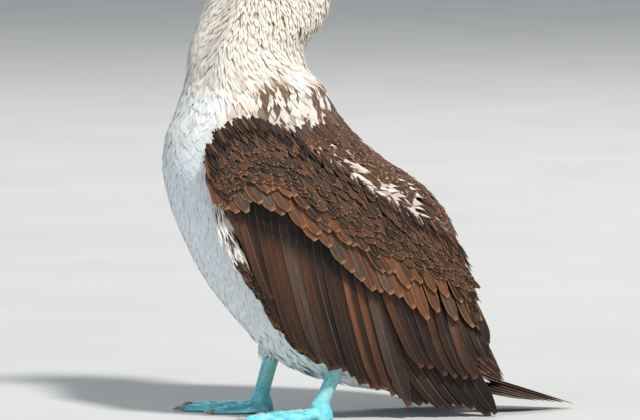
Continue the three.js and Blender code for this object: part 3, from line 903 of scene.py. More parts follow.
class Markings:
    """The plumage's pattern on body, neck and head, with some painted shade, shared by the skin and the
    coat.
    """

    WING_TOP = np.array([
        (-101, 243), (-93, 270), (-67, 284), (-36, 278), (8, 249), (55, 218), (97, 192), (125, 179),
        (144, 157), (152, 131), (157, 104), (162, 82), (165, 68),
    ], float)
    STRIP_WIDTH = 15.0
    CREASE_TURN = 2.3
    CREASE_WIDTH = 0.13

    def __init__(self) -> None:
        """Reads the wing's upper edge."""
        self.edge = spline(self.WING_TOP, np.linspace(0, len(self.WING_TOP) - 1, 97))

    def past_wing(self, points: Array) -> Array:
        """Finds how far points lie above and behind the wing's upper edge in side view.

        Args:
            points: The points, in millimetres.

        Returns:
            The distances, below 0 where a point lies under the edge.
        """
        flat = points[:, [0, 2]]
        apart = np.linalg.norm(flat[:, None] - self.edge[None], axis=-1)
        nearest = apart.argmin(1)
        way = unit(np.gradient(self.edge, axis=0))[nearest]
        offset = flat - self.edge[nearest]
        side = offset[:, 0] * -way[:, 1] + offset[:, 1] * way[:, 0]
        return np.where(side > 0, apart.min(1), -apart.min(1))

    def mantle(self, along: Array, turn: Array, points: Array) -> Array:
        """Finds the share of brown mantle at places on the body.

        Args:
            along: The places along the body, in stations.
            turn: Their turns round it, in radians.
            points: Their points, in millimetres.

        Returns:
            Shares from 0 to 1.
        """
        past = self.past_wing(points)
        rough = cloud(points, 9) * 9 + cloud(points, 24, 7) * 12
        behind = smooth_step(90, 125, points[:, 0])
        strip = self.STRIP_WIDTH * (1 - behind) * smooth_step(-60, 0, points[:, 0])
        by_strip = smooth_step(-2, 5, past + rough - strip)
        neck_edge = 6.9 - 0.4 * np.abs(turn) ** 1.5
        by_neck = smooth_step(-0.35, 0.35, neck_edge - along + rough * 0.035)
        rump = smooth_step(0.15, 0.6, along + cloud(points, 20, 3) * 0.6)
        upper = smooth_step(-8, 10, points[:, 2] - (150 - 70 * behind) + rough)
        back = smooth_step(2.1, 1.7, np.abs(turn)) * smooth_step(-80, -50, points[:, 0])
        return by_strip * by_neck * rump * upper * back

    def creased(self, along: Array) -> Array:
        """The share of the crease beside the throat at places along the neck, from 0 to 1."""
        return smooth_step(7.8, 8.8, along) * smooth_step(13.2, 12, along)

    def crease_at(self, turn: Array) -> Array:
        """The share of that crease at turns round the neck, from 0 to 1."""
        return peak(np.abs(turn), self.CREASE_TURN, self.CREASE_WIDTH)

    def tones(self, along: Array, turn: Array, points: Array) -> tuple[Array, Array]:
        """The tint and the fringe of plumage at places on the body, with painted shade in the crease beside
        the throat and on the back.

        Args:
            along: The places along the body, in stations.
            turn: Their turns round it.
            points: Their points, in millimetres.

        Returns:
            The tints and the fringes, as linear colours.
        """
        soft = cloud(points, 30, 11)
        spots = cloud(points, 5, 23)
        tint = blend(Tone.SNOW.linear, Tone.CREAM.linear, smooth_step(6, 8.5, along + soft * 2))
        low_neck = smooth_step(6.2, 7.2, along) * smooth_step(9.4, 8.4, along)
        tint = blend(tint, Tone.TAN.linear, low_neck * smooth_step(0.1, 0.35, spots + soft * 0.4) * 0.35)
        # Painted shade in the crease beside the throat: the tint there is up to 30 % darker.
        crease = self.crease_at(turn) * self.creased(along)
        tint = tint * (1 - 0.3 * crease[:, None])
        streaked = smooth_step(8.2, 10.6, along + soft * 2.0 + 0.9 * np.cos(turn))
        streak = blend(Tone.STREAK.linear, Tone.UMBER.linear, smooth_step(0.1, 1.0, np.cos(turn)) * 0.8)
        fringe = blend(tint, streak, streaked * (0.55 + 1.0 * spots))
        on_head = smooth_step(11.6, 14.2, along + soft * 1.5)
        tint = blend(tint, Tone.CROWN.linear, on_head * (0.22 + 0.45 * spots))
        fringe = blend(fringe, Tone.CROWN.linear, on_head)
        fringe = blend(fringe, Tone.CREAM.linear, 0.55 * smooth_step(14.5, 16.8, along))
        around = np.abs(turn)
        band = peak(along - 6.7 - 0.62 * around, 0, 0.72) * smooth_step(1.75, 1.35, around)
        mottled = smooth_step(-0.06, 0.06, spots + soft * 0.3) * smooth_step(0.12, 0.4, band)
        on_back = smooth_step(1.75, 1.4, around) * smooth_step(8.6, 7.4, along)
        tint = blend(tint, Tone.CREAM.linear, on_back * 0.8)
        flecks = on_back * np.clip(0.16 + 0.5 * spots, 0, 0.4)
        # On the back the tint is also 16 % darker, a painted shade that keeps the whites facing the key
        # light from burning out. The tan flecks are the plumage's own.
        tint = blend(tint, Tone.TAN.linear, flecks) * (1 - 0.16 * on_back)[:, None]
        brown = np.maximum(smooth_step(0.4, 0.6, self.mantle(along, turn, points)), mottled * 0.9)
        tint = blend(tint, blend(Tone.UMBER.linear, Tone.BROWN.linear, 0.5 + 1.4 * spots), brown)
        fringe = blend(fringe, Tone.TAN.linear, brown)
        return tint, fringe


MARKINGS = Markings()


class Flesh:
    """The one skin of body, neck, head and thighs, under the coat."""

    COAT_DEPTH = 4.0
    THIN_FROM = 16.5
    THIN_DEPTH = 1.6
    SIDES = 48
    RINGS = 90
    VOXEL = 3.0
    SECTIONS = 181
    SHADED = 0.85

    def build(self, studio: Studio, thighs: list[Mesh]) -> None:
        """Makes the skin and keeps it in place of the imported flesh.

        Args:
            studio: The studio.
            thighs: The thighs' meshes, which the skin takes in.
        """
        along = np.linspace(0, BODY.last, self.RINGS)[:, None]
        turn = circle(self.SIDES)[None]
        depth = np.where(along > self.THIN_FROM, self.THIN_DEPTH, self.COAT_DEPTH)
        body = studio.rings("body form", BODY.point(along, turn, -depth))
        skin = studio.remesh("skin", [body, *thighs], self.VOXEL, 2)
        points = studio.drawn(skin)
        places, turns = self.read_back(points)
        tint, _ = MARKINGS.tones(places, turns, points)
        studio.colour(skin, "Tint", tint * self.SHADED)
        shader = Shader("downy skin")
        pits = shader.cells(shader.place(), 400, "F1")
        shade = shader.rise(pits, 0.0, 0.8, 0.75, 1.1)
        colour = shader.tinted(shade)
        shader.rough(pits, 0.4, 0.0006)
        material = shader.dress(colour, Roughness=0.85, Sheen_Weight=0.2)
        nodes = ["torso", "neck_lower", "neck_upper", "head", "thigh_left", "thigh_right"]
        studio.keep("skin", skin, material, "plumage_white", *nodes)

    def read_back(self, points: Array) -> tuple[Array, Array]:
        """Finds the places on the body that lie nearest to points.

        Args:
            points: The points, in millimetres.

        Returns:
            The places along the body, in stations, and their turns.
        """
        table = np.linspace(0, BODY.last, self.SECTIONS)
        centre, up, ahead, _, _ = BODY.cut(table)
        apart = np.abs(np.einsum("pk,tk->pt", points, ahead) - np.einsum("tk,tk->t", centre, ahead))
        away = np.linalg.norm(points[:, None, ::2] - centre[None, :, ::2], axis=-1)
        best = (apart * 3 + away * 0.3).argmin(1)
        offset = points - centre[best]
        upwards = np.sum(offset * up[best], -1)
        return table[best], np.arctan2(points[:, 1], upwards)


class Area(Enum):
    """The coat's pieces on body, neck and head."""

    HEAD = "head"
    NECK = "neck"
    NAPE = "nape"
    BREAST = "breast"
    BELLY = "belly"
    DOWN = "down"
    MANTLE = "mantle"
    VENT = "vent"


@dataclass(frozen=True)
class CoatSizes:
    """Sizes of the coat at a station, in millimetres."""

    at: float
    spacing: float
    length: float
    half_width: float
    lift: float


@dataclass(frozen=True)
class CoatKind:
    """How one piece of the coat differs from the usual sizes."""

    form: VaneForm
    finish: PlumageFinish
    stretch: float = 1.0
    wide: float = 1.0
    lift: float = 1.0
    roll: float = 0.2
    stray: float = 0.14


class Coat:
    """The feathers of body, neck and head, set all over the skin and following its lie."""

    SIZES = (
        CoatSizes(0, 5.0, 26, 4.6, 2.0),
        CoatSizes(1.5, 5.0, 28, 5.0, 2.4),
        CoatSizes(4, 4.6, 28, 5.0, 1.6),
        CoatSizes(6, 4.3, 25, 4.4, 1.6),
        CoatSizes(7.5, 3.5, 22, 3.3, 0.8),
        CoatSizes(9, 2.9, 21, 2.5, 0.9),
        CoatSizes(11.5, 2.6, 18, 2.1, 1.2),
        CoatSizes(13, 2.3, 12, 1.6, 1.1),
        CoatSizes(15, 1.75, 8, 1.15, 0.7),
        CoatSizes(17, 1.3, 5, 0.8, 0.4),
        CoatSizes(18, 1.2, 3.6, 0.7, 0.3),
    )
    ROOT_SINKS = 3.2
    SOFT = VaneForm(rows=6, widths=(0.3, 0.8, 1.0, 1.0, 0.75, 0.08), thickness=0.25)
    SLIM = VaneForm(rows=6, widths=(0.4, 0.85, 1.0, 0.9, 0.55, 0.05), thickness=0.4, camber=0.35)
    ROUNDED = VaneForm(rows=6, widths=(0.3, 0.75, 0.95, 1.0, 0.9, 0.25), thickness=0.6, camber=0.7)
    STREAKED = {"slot": "plumage_streaked", "rim": Rim.STREAK, "bump": 0.2}
    NECK_LOOK = {"fringe_from": 0.6, "barb_contrast": 0.1, "barbs": 16}
    SOFT_LOOK = {
        "slot": "plumage_white", "fringe_from": 0.85, "barb_contrast": 0.05, "barbs": 22, "bump": 0.15,
    }
    CLOSE = {"stretch": 1.15, "wide": 1.18, "lift": 0.25, "roll": 0.02, "stray": 0.06}
    KINDS = {
        Area.HEAD: CoatKind(SLIM, PlumageFinish("head plumes", barb_contrast=0.12, barbs=12, **STREAKED)),
        Area.NECK: CoatKind(SLIM, PlumageFinish("neck plumes", **NECK_LOOK, **STREAKED)),
        Area.NAPE: CoatKind(SLIM, PlumageFinish("nape plumes", **NECK_LOOK, **STREAKED)),
        Area.BREAST: CoatKind(SOFT, PlumageFinish("breast plumes", **SOFT_LOOK), **CLOSE),
        Area.BELLY: CoatKind(SOFT, PlumageFinish("belly plumes", **SOFT_LOOK), **CLOSE),
        Area.VENT: CoatKind(
            SLIM, PlumageFinish("vent plumes", "plumage_white", Rim.ROUND, 0.85, 0.08, 22, bump=0.25),
            lift=1.2, roll=0.35, stray=0.28,
        ),
        Area.DOWN: CoatKind(
            SLIM, PlumageFinish("white down", "plumage_white", Rim.SIDES, 0.85, 0.12, 14, bump=0.3),
            stretch=0.7, wide=0.5, lift=2.2, roll=0.8, stray=0.3,
        ),
        Area.MANTLE: CoatKind(
            ROUNDED, PlumageFinish("mantle plumes", "plumage_brown", Rim.ROUND, 0.88, 0.45, 22, shaft=0.03),
            stretch=1.3, wide=1.2, lift=2.4, roll=0.3,
        ),
    }
    DRAWS = 150_000
    FULLEST = 0.995
    CELL = 6.0
    CLOSEST = 0.8
    CREASE_DEPTH = 2.2
    BREAST_FROM = 4.6
    NECK_FROM = 7.4
    HEAD_FROM = 12.4
    NAPE_TURN = 1.35
    HIDDEN_UNDER_EDGE = 26
    HIDDEN_ASIDE = 46
    HIDDEN_BEHIND = -70
    HIDDEN_ABOVE = 75

    def __init__(self, studio: Studio, face: "BareFace") -> None:
        """Takes the studio and the bare face that the coat leaves free."""
        self.studio = studio
        self.face = face

    def size(self, name: str, along: Array) -> Array:
        """Reads one of the coat's sizes at places along the body."""
        return np.interp(along, [s.at for s in self.SIZES], [getattr(s, name) for s in self.SIZES])

    def scatter(self) -> tuple[Array, Array]:
        """Spreads the roots evenly over the surface.

        Returns:
            Their places along the body and their turns.
        """
        random = self.studio.random
        along = random.random(self.DRAWS) * BODY.last
        turn = (random.random(self.DRAWS) * 2 - 1) * math.pi
        by_along, by_turn = BODY.steps(along, turn)
        area = np.linalg.norm(np.cross(by_along, by_turn), axis=-1)
        spacing = self.size("spacing", along)
        wanted = area / spacing**2
        kept = random.random(self.DRAWS) < wanted / np.quantile(wanted, self.FULLEST)
        along, turn, spacing = along[kept], turn[kept], spacing[kept]
        return self.thin(along, turn, spacing)

    def thin(self, along: Array, turn: Array, spacing: Array) -> tuple[Array, Array]:
        """Drops each root that is closer to an earlier one than its spacing.

        Args:
            along: The roots' places along the body, in stations.
            turn: Their turns.
            spacing: Their spacings, in millimetres.

        Returns:
            The places and turns of the roots that stay.
        """
        points = BODY.point(along, turn)
        taken: dict[tuple[int, int, int], list[int]] = {}
        kept = []
        keys = np.floor(points / self.CELL).astype(int)
        near = [(i, j, k) for i in (-1, 0, 1) for j in (-1, 0, 1) for k in (-1, 0, 1)]
        for index, (key, place) in enumerate(zip(keys, points)):
            x, y, z = key
            others = [other for i, j, k in near for other in taken.get((x + i, y + j, z + k), ())]
            if others:
                apart = np.sum((points[others] - place) ** 2, axis=1).min()
                if apart < (self.CLOSEST * spacing[index]) ** 2:
                    continue
            taken.setdefault(tuple(key), []).append(index)
            kept.append(index)
        return along[kept], turn[kept]

    def lie(self, along: Array, turn: Array) -> Array:
        """Finds how the feathers turn from the way to the tail towards the back.

        Args:
            along: The places along the body, in stations.
            turn: Their turns round it, in radians.

        Returns:
            The angles, in radians.
        """
        flank = np.sin(np.abs(turn))
        on_neck = smooth_step(7.5, 9, along) * smooth_step(13, 11.5, along)
        throat = smooth_step(1.9, 2.4, np.abs(turn))
        sweep = on_neck * flank * (0.42 * (1 - throat) - 0.5 * throat)
        on_breast = smooth_step(7.5, 5.5, along) * 0.22 * flank
        return -np.sign(turn) * (sweep + on_breast)

    def rails(self, along: Array, turn: Array, kind: CoatKind) -> Rails:
        """Runs the feathers' centre lines over the surface from their roots.

        Args:
            along: The roots' places along the body, in stations.
            turn: Their turns.
            kind: The kind of coat.

        Returns:
            The rails, coloured by the markings.
        """
        random = self.studio.random
        count = len(along)
        length = self.size("length", along) * kind.stretch * (0.88 + 0.24 * random.random(count))
        angle = self.lie(along, turn) + kind.stray * random.standard_normal(count)
        at, round_to = along.copy(), turn.copy()
        centre, out = [], []
        shares = kind.form.shares()
        tips = self.size("lift", along) * kind.lift * (0.7 + 0.6 * random.random(count))
        before = 0.0
        for share in shares:
            by_along, by_turn = BODY.steps(at, round_to)
            step = length * (share - before)
            at = at - step * np.cos(angle) / np.linalg.norm(by_along, axis=-1)
            round_to = round_to + step * np.sin(angle) / np.maximum(4, np.linalg.norm(by_turn, axis=-1))
            before = share
            height = -self.ROOT_SINKS * (1 - share) ** 1.5 + tips * share
            height = height - self.CREASE_DEPTH * MARKINGS.crease_at(round_to) * MARKINGS.creased(at)
            centre.append(BODY.point(at, round_to, height))
            out.append(BODY.out(at, round_to))
        roots = BODY.point(along, turn)
        tint, fringe = MARKINGS.tones(along, turn, roots)
        tint = np.clip(tint * (0.93 + 0.14 * random.random((count, 1))), 0, 1)
        width = self.size("half_width", along) * kind.wide * (0.85 + 0.3 * random.random(count))
        place = np.stack([turn / (2 * math.pi) + 0.5, (along + 0.5) / (BODY.last + 1)], -1)
        roll = kind.roll * random.standard_normal(count)
        return Rails(np.stack(centre, 1), np.stack(out, 1), width, tint, fringe, place, roll=roll)

    def areas(self, along: Array, turn: Array) -> Array:
        """Sorts roots into the coat's pieces.

        Args:
            along: The roots' places along the body, in stations.
            turn: Their turns.

        Returns:
            An Area for each root.
        """
        points = BODY.point(along, turn)
        brown = MARKINGS.mantle(along, turn, points) > 0.5
        names = np.full(len(along), Area.BELLY, dtype=object)
        names[along > self.BREAST_FROM] = Area.BREAST
        names[along > self.NECK_FROM] = Area.NECK
        names[(along > self.NECK_FROM) & (np.abs(turn) < self.NAPE_TURN)] = Area.NAPE
        names[along > self.HEAD_FROM] = Area.HEAD
        names[(along < 1.6) | ((along < 2.6) & (np.abs(turn) > 2.1))] = Area.VENT
        near_wing = MARKINGS.past_wing(points) < MARKINGS.STRIP_WIDTH + 8
        names[near_wing & (along < 6.6) & (np.abs(turn) < 1.5) & (points[:, 2] > 150)] = Area.DOWN
        names[brown] = Area.MANTLE
        return names

    def build(self) -> None:
        """Makes every piece of the coat."""
        along, turn = self.scatter()
        points = BODY.point(along, turn)
        under_wing = MARKINGS.past_wing(points) < -self.HIDDEN_UNDER_EDGE
        under_wing &= np.abs(points[:, 1]) > self.HIDDEN_ASIDE
        under_wing &= (points[:, 0] > self.HIDDEN_BEHIND) & (points[:, 2] > self.HIDDEN_ABOVE)
        free = ~under_wing & ~self.face.covers(along, turn)
        along, turn = along[free], turn[free]
        order = np.argsort(-along)
        along, turn = along[order], turn[order]
        names = self.areas(along, turn)
        for area in Area:
            chosen = names == area
            kind = self.KINDS[area]
            rails = self.rails(along[chosen], turn[chosen], kind)
            mesh = self.studio.feathers("coat_" + area.value, kind.form, rails)
            self.studio.keep("coat_" + area.value, mesh, kind.finish.make(), kind.finish.slot)


class BareFace:
    """The bare skin from the bill to the eyes, with its edge along the feathers."""

    SIDES = 168
    RINGS = 60
    STANDS = 0.35
    EDGE_SINKS = 1.8
    EDGE_TURNS = (0, 0.45, 0.9, 1.25, 1.6, 1.95, 2.4, math.pi)
    EDGE_ENDS = (17.75, 17.6, 16.6, 15.7, 15.7, 16.1, 16.5, 16.35)
    TONE = np.array([0.085, 0.125, 0.155])

    def __init__(self, studio: Studio) -> None:
        """Takes the studio."""
        self.studio = studio

    def rear(self, turn: Array) -> Array:
        """Where the bare skin ends towards the crown, in stations, round the head."""
        turn = np.abs((turn + math.pi) % (2 * math.pi) - math.pi)
        return np.interp(turn, self.EDGE_TURNS, self.EDGE_ENDS)

    def covers(self, along: Array, turn: Array) -> Array:
        """Says which places lie on bare skin."""
        return along > self.rear(turn) + 0.08

    def build(self) -> None:
        """Makes the face's skin."""
        turn = circle(self.SIDES)[None]
        share = np.linspace(0, 1, self.RINGS)[:, None]
        along = self.rear(turn) * (1 - share) + BODY.last * share
        height = self.STANDS - (self.STANDS + self.EDGE_SINKS) * (1 - share) ** 4
        points = BODY.point(along, turn, height)
        flat = points.reshape(-1, 3)
        wrinkle = cloud(flat * np.array([1, 1, 2.2]), 3.0, 5) * 0.35 + cloud(flat, 1.2, 8) * 0.15
        mouth = self.mouth(flat)
        height = height + (wrinkle - 0.9 * mouth).reshape(height.shape[0], self.SIDES)
        mesh = self.studio.rings("face_skin", BODY.point(along, turn, height))
        bare = self.studio.drawn(mesh)
        dark = self.mouth(bare)[:, None]
        tint = self.TONE * (1 + 0.9 * cloud(bare, 6, 3)[:, None]) * (1 - 0.8 * dark)
        self.studio.colour(mesh, "Tint", tint)
        finish = SkinFinish("slate face skin", "bill", scale=1300, crease=0.35)
        self.studio.keep("face_skin", mesh, finish.make(), finish.slot)

    def mouth(self, points: Array) -> Array:
        """Finds how near points lie to the line of the mouth, which runs on below the eye.

        Args:
            points: The points, in millimetres.

        Returns:
            Shares from 0 to 1.
        """
        bill = Bill()
        front = bill.root - bill.up * bill.MOUTH_DROP + bill.ahead * 2
        back = np.array([-86.0, 0, front[2] - 4.5])
        way = back - front
        offset = points - front
        share = np.clip((offset[:, 0] * way[0] + offset[:, 2] * way[2]) / (way @ way), 0, 1)
        apart = np.linalg.norm((offset - share[:, None] * way)[:, ::2], axis=1)
        return peak(apart, 0, 0.75)


@dataclass
class Eye:
    """A glossy eye and its lids."""

    studio: Studio
    side: Side
    radius: float = 6.6
    stands: float = 2.3
    height: float = 468.5
    iris: float = 4.9
    pupil: float = 2.8
    lid_radius: float = 5.5
    lid_thickness: float = 0.95
    lid_height: float = 4.35
    LID_TONE = np.array([0.11, 0.17, 0.21])
    BEHIND_STATION = 0.45
    CORNEA = 0.5

    def centre(self) -> Array:
        """The middle of the eyeball, in millimetres."""
        flank = float(BODY.cut(np.array(BODY.station("eyes") - self.BEHIND_STATION))[4])
        return np.array([Studio.EYE_X, self.side.value * (flank + self.stands - self.radius), self.height])

    def build(self) -> None:
        """Makes the eyeball and its lids."""
        self.globe()
        self.lids()

    def globe(self) -> None:
        """Makes the eyeball with its slightly raised cornea."""
        bm = bmesh.new()
        bmesh.ops.create_uvsphere(bm, u_segments=48, v_segments=32, radius=self.radius)
        aside = Matrix.Rotation(math.radians(-90 * self.side.value), 3, "X")
        bmesh.ops.rotate(bm, verts=bm.verts, matrix=aside)
        for vert in bm.verts:
            off_axis = math.hypot(vert.co.x, vert.co.z)
            if vert.co.y * self.side.value > 0 and off_axis < self.iris:
                vert.co.y += self.side.value * self.CORNEA * (1 - (off_axis / self.iris) ** 2)
        centre = self.studio.metres(self.centre())
        bmesh.ops.scale(bm, verts=bm.verts, vec=(MM, MM, MM))
        bmesh.ops.translate(bm, verts=bm.verts, vec=centre)
        mesh = bpy.data.meshes.new("eyeball")
        bm.to_mesh(mesh)
        bm.free()
        self.studio.smooth(mesh)
        name = f"eye_{self.side.word}_globe"
        self.studio.keep(name, mesh, self.finish(centre), "eye", f"eye_{self.side.word}")

    def finish(self, centre: Array) -> Material:
        """Builds a pale yellow iris with fine rays round a black pupil.

        Args:
            centre: The middle of the eyeball, in metres in the part's frame.

        Returns:
            The material.
        """
        shader = Shader(f"{self.side.word} eye")
        moved = shader.node("VectorMath", {"operation": "SUBTRACT"}, {0: shader.place(), 1: tuple(centre)})
        split = shader.node("SeparateXYZ", None, {0: moved.outputs[0]})
        flat = shader.node("CombineXYZ", None, {0: split.outputs[0], 2: split.outputs[2]})
        radius = shader.node("VectorMath", {"operation": "LENGTH"}, {0: flat.outputs[0]}).outputs["Value"]
        angle = shader.maths("ARCTAN2", split.outputs[0], split.outputs[2])
        ring = shader.node("CombineXYZ", None, {
            0: shader.maths("SINE", angle),
            1: shader.maths("COSINE", angle),
            2: shader.maths("MULTIPLY", radius, 60.0),
        })
        rays = shader.noise(ring.outputs[0], 14, 4, 0.6)
        iris = shader.mix(shader.rise(rays, 0.35, 0.65), (0.62, 0.47, 0.12, 1), (0.86, 0.76, 0.36, 1))
        limit = shader.rise(radius, (self.iris - 0.9) * MM, self.iris * MM)
        iris = shader.mix(limit, iris, (0.16, 0.11, 0.05, 1))
        pupil = shader.rise(radius, self.pupil * MM, (self.pupil + 0.25) * MM)
        colour = shader.mix(pupil, (0.004, 0.004, 0.005, 1), iris)
        return shader.dress(colour, Roughness=0.12, Coat_Weight=1.0, Coat_Roughness=0.02, IOR=1.4)

    def lids(self) -> None:
        """Makes the lids as one soft, creased ring, a little closed from above."""
        turn = circle(72)[:, None]
        around = circle(12)[None]
        thick = self.lid_thickness * (1 + 0.1 * np.sin(turn * 17) + 0.25 * np.maximum(0, np.sin(turn)))
        open_to = self.lid_radius * (1 - 0.1 * np.maximum(0, np.sin(turn)))
        skirt = np.maximum(0, np.cos(around))
        reach = open_to + thick * np.cos(around) + 1.6 * skirt
        centre = self.centre()
        front = abs(centre[1]) + self.lid_height - 0.35 * np.abs(np.cos(turn))
        y = self.side.value * (front + thick * 0.9 * np.sin(around) - 4.0 * skirt)
        x = centre[0] + reach * 1.06 * np.cos(turn)
        rings = points_at(x, y, centre[2] + reach * 0.97 * np.sin(turn))
        closed = np.concatenate([rings, rings[:1]])
        mesh = self.studio.rings("lids", closed, capped=False)
        bm = bmesh.new()
        bm.from_mesh(mesh)
        bmesh.ops.remove_doubles(bm, verts=bm.verts, dist=1e-6)
        bmesh.ops.recalc_face_normals(bm, faces=bm.faces)
        bm.to_mesh(mesh)
        bm.free()
        self.studio.smooth(mesh)
        self.studio.colour(mesh, "Tint", all_in(self.LID_TONE, len(mesh.vertices)))
        finish = SkinFinish(f"{self.side.word} lid skin", "bill", scale=1700)
        self.studio.keep(f"lids_{self.side.word}", mesh, finish.make(), finish.slot)


@dataclass(frozen=True)
class BillStation:
    """A section through the bill."""

    along: float
    half_depth: float
    half_width: float
    droop: float


class Bill:
    """The long, tapered bill with its side grooves, finely toothed edges and small nail."""

    RISE_DEGREES = 5.0
    MOUTH_DROP = 2.4
    MOUTH_GAP = 0.4
    ROOT_LEAN = 0.395
    TOOTH_EVERY = 2.4
    TOOTH = 0.3
    STATIONS = (
        BillStation(-1, 15.3, 13.3, 0), BillStation(4, 14.3, 12.5, 0), BillStation(12, 12.7, 11.2, 0),
        BillStation(25, 10.8, 9.4, 0), BillStation(50, 8.6, 7.2, 0), BillStation(75, 6.3, 5.2, 0.3),
        BillStation(92, 4.2, 3.4, 1.2), BillStation(101, 2.4, 1.9, 2.4), BillStation(105, 0.8, 0.6, 3.6),
    )
    LOWER_SHORTER = 3.2
    RINGS = 132
    ARC = 27
    FLAT = 7

    def __init__(self) -> None:
        """Finds the bill's root and its ways ahead and up."""
        centre, up, _, _, _ = BODY.cut(np.array(float(BODY.last)))
        rise = math.radians(self.RISE_DEGREES)
        self.root = centre
        self.ahead = np.array([-math.cos(rise), 0, math.sin(rise)])
        self.up = np.array([math.sin(rise), 0, math.cos(rise)])

    def half(self, studio: Studio, upper: bool) -> Mesh:
        """Lofts the upper or the lower half.

        Args:
            studio: The studio.
            upper: True for the upper half.

        Returns:
            The half's mesh.
        """
        sign = 1 if upper else -1
        marks = [s.along for s in self.STATIONS]
        end = marks[-1] if upper else marks[-1] - self.LOWER_SHORTER
        along = marks[0] + (end - marks[0]) * (1 - (1 - np.linspace(0, 1, self.RINGS)) ** 1.15)
        depth, width, droop = (
            np.interp(along, marks, [getattr(s, name) for s in self.STATIONS])[:, None]
            for name in ("half_depth", "half_width", "droop")
        )
        level = -np.minimum(self.MOUTH_DROP, 0.42 * depth) + sign * self.MOUTH_GAP / 2
        start = np.arcsin(np.clip(level / depth, -1, 1))
        share = np.linspace(0, 1, self.ARC)[None]
        first = start if upper else -start
        angle = first + (math.pi - 2 * first) * share
        groove_at = 0.22 if upper else 0.3
        near = np.minimum(share, 1 - share)
        groove = peak(near, groove_at, 0.045) * (0.06 if upper else 0.035)
        fade = smooth_step(96, 80, along)[:, None] * smooth_step(-2, 8, along)[:, None]
        inset = 1 - groove * fade
        ridge = 1 + 0.05 * peak(share, 0.5, 0.09) * smooth_step(104, 60, along)[:, None]
        arc_y = width * np.cos(angle) * inset
        arc_z = sign * depth * np.sin(angle) * inset * (ridge if upper else 1)
        nail = 0.35 * peak(along, 97, 4.5)[:, None] * np.abs(np.sin(angle))
        arc_z = arc_z + (nail if upper else -0.4 * nail)
        teeth = self.TOOTH * (((along / self.TOOTH_EVERY) % 1) - 0.5)[:, None]
        teeth = teeth * smooth_step(18, 34, along)[:, None] * smooth_step(97, 90, along)[:, None]
        arc_z = arc_z - sign * teeth * peak(near, 0, 0.03) * (1 if upper else 0.6)
        back_share = np.linspace(0, 1, self.FLAT + 2)[None, 1:-1]
        flat_y = arc_y[:, -1:] * (1 - back_share) + arc_y[:, :1] * back_share
        flat_z = arc_z[:, -1:] + sign * 0.35 * depth * np.sin(math.pi * back_share) * 0.5
        y = np.concatenate([arc_y, flat_y], 1)
        z = np.concatenate([arc_z, flat_z], 1) - droop * (along / marks[-1])[:, None]
        lean = self.ROOT_LEAN * smooth_step(16, 0, along)[:, None] * z
        points = self.root + self.ahead * (along[:, None] - lean)[..., None] + self.up * z[..., None]
        return studio.rings("bill_half", points + SIDEWAYS * y[..., None])

    def build(self, studio: Studio) -> None:
        """Makes both halves.

        Args:
            studio: The studio.
        """
        tones = (0.09, 0.14, 0.165, 1), (0.19, 0.24, 0.24, 1)
        material = HornFinish("slate bill horn", "bill", *tones, (50, 600, 600)).make()
        studio.keep("bill_upper_horn", self.half(studio, True), material, "bill", "bill_upper")
        studio.keep("bill_lower_horn", self.half(studio, False), material, "bill", "bill_lower")


@dataclass(frozen=True)
class Tier:
    """A piece of wing feathers, with lines of roots and tips in side view where it is a plain tier."""

    name: str
    root_out: float
    tip_out: float
    form: VaneForm
    finish: PlumageFinish
    tones: tuple[Tone, ...]
    fringe: Tone
    count: int = 0
    half_width: float = 0.0
    roots: tuple[tuple[float, float], ...] = ()
    tips: tuple[tuple[float, float], ...] = ()
    bow: float = 0.02
    vary: float = 0.05
    patch: tuple[float, float] = (TUFT_PATCH, TUFT_PATCH)


FLIGHT = VaneForm(
    sides=8, rows=16, widths=(0.5, 0.8, 0.95, 1.0, 1.0, 0.98, 0.84, 0.3),
    thickness=0.5, camber=0.35, tilt=1.15,
)
COVERT = VaneForm(
    sides=8, rows=9, widths=(0.4, 0.8, 0.95, 1.0, 1.0, 0.95, 0.35), thickness=0.6, camber=0.7, tilt=0.9
)
SCALE = VaneForm(rows=6, widths=(0.4, 0.8, 0.95, 1.0, 0.9, 0.25), thickness=0.6, camber=0.6, tilt=0.5)
HAIR = VaneForm(rows=6, widths=(0.5, 0.9, 1.0, 0.8, 0.5, 0.05), thickness=0.6, camber=0.4, tilt=0.3)
FLIGHT_FINISH = PlumageFinish(
    "flight feathers", "plumage_brown", Rim.ROUND, 0.9, 0.25, 90, shaft=0.026, shaft_at=0.36, lit_edge=0.32,
    roughness=0.55, sheen=0.0, bump=0.3, dark_root=0.4,
)
COVERT_FINISH = PlumageFinish(
    "coverts", "plumage_brown", Rim.ROUND, 0.81, 0.34, 45, shaft=0.035, shaft_at=0.45, lit_edge=0.12,
    roughness=0.65, sheen=0.04,
)
SCALE_FINISH = PlumageFinish("small coverts", "plumage_brown", Rim.ROUND, 0.82, 0.4, 26, shaft=0.035)
HAIR_FINISH = PlumageFinish("edge coverts", "plumage_brown", Rim.SIDES, 0.8, 0.4, 20)


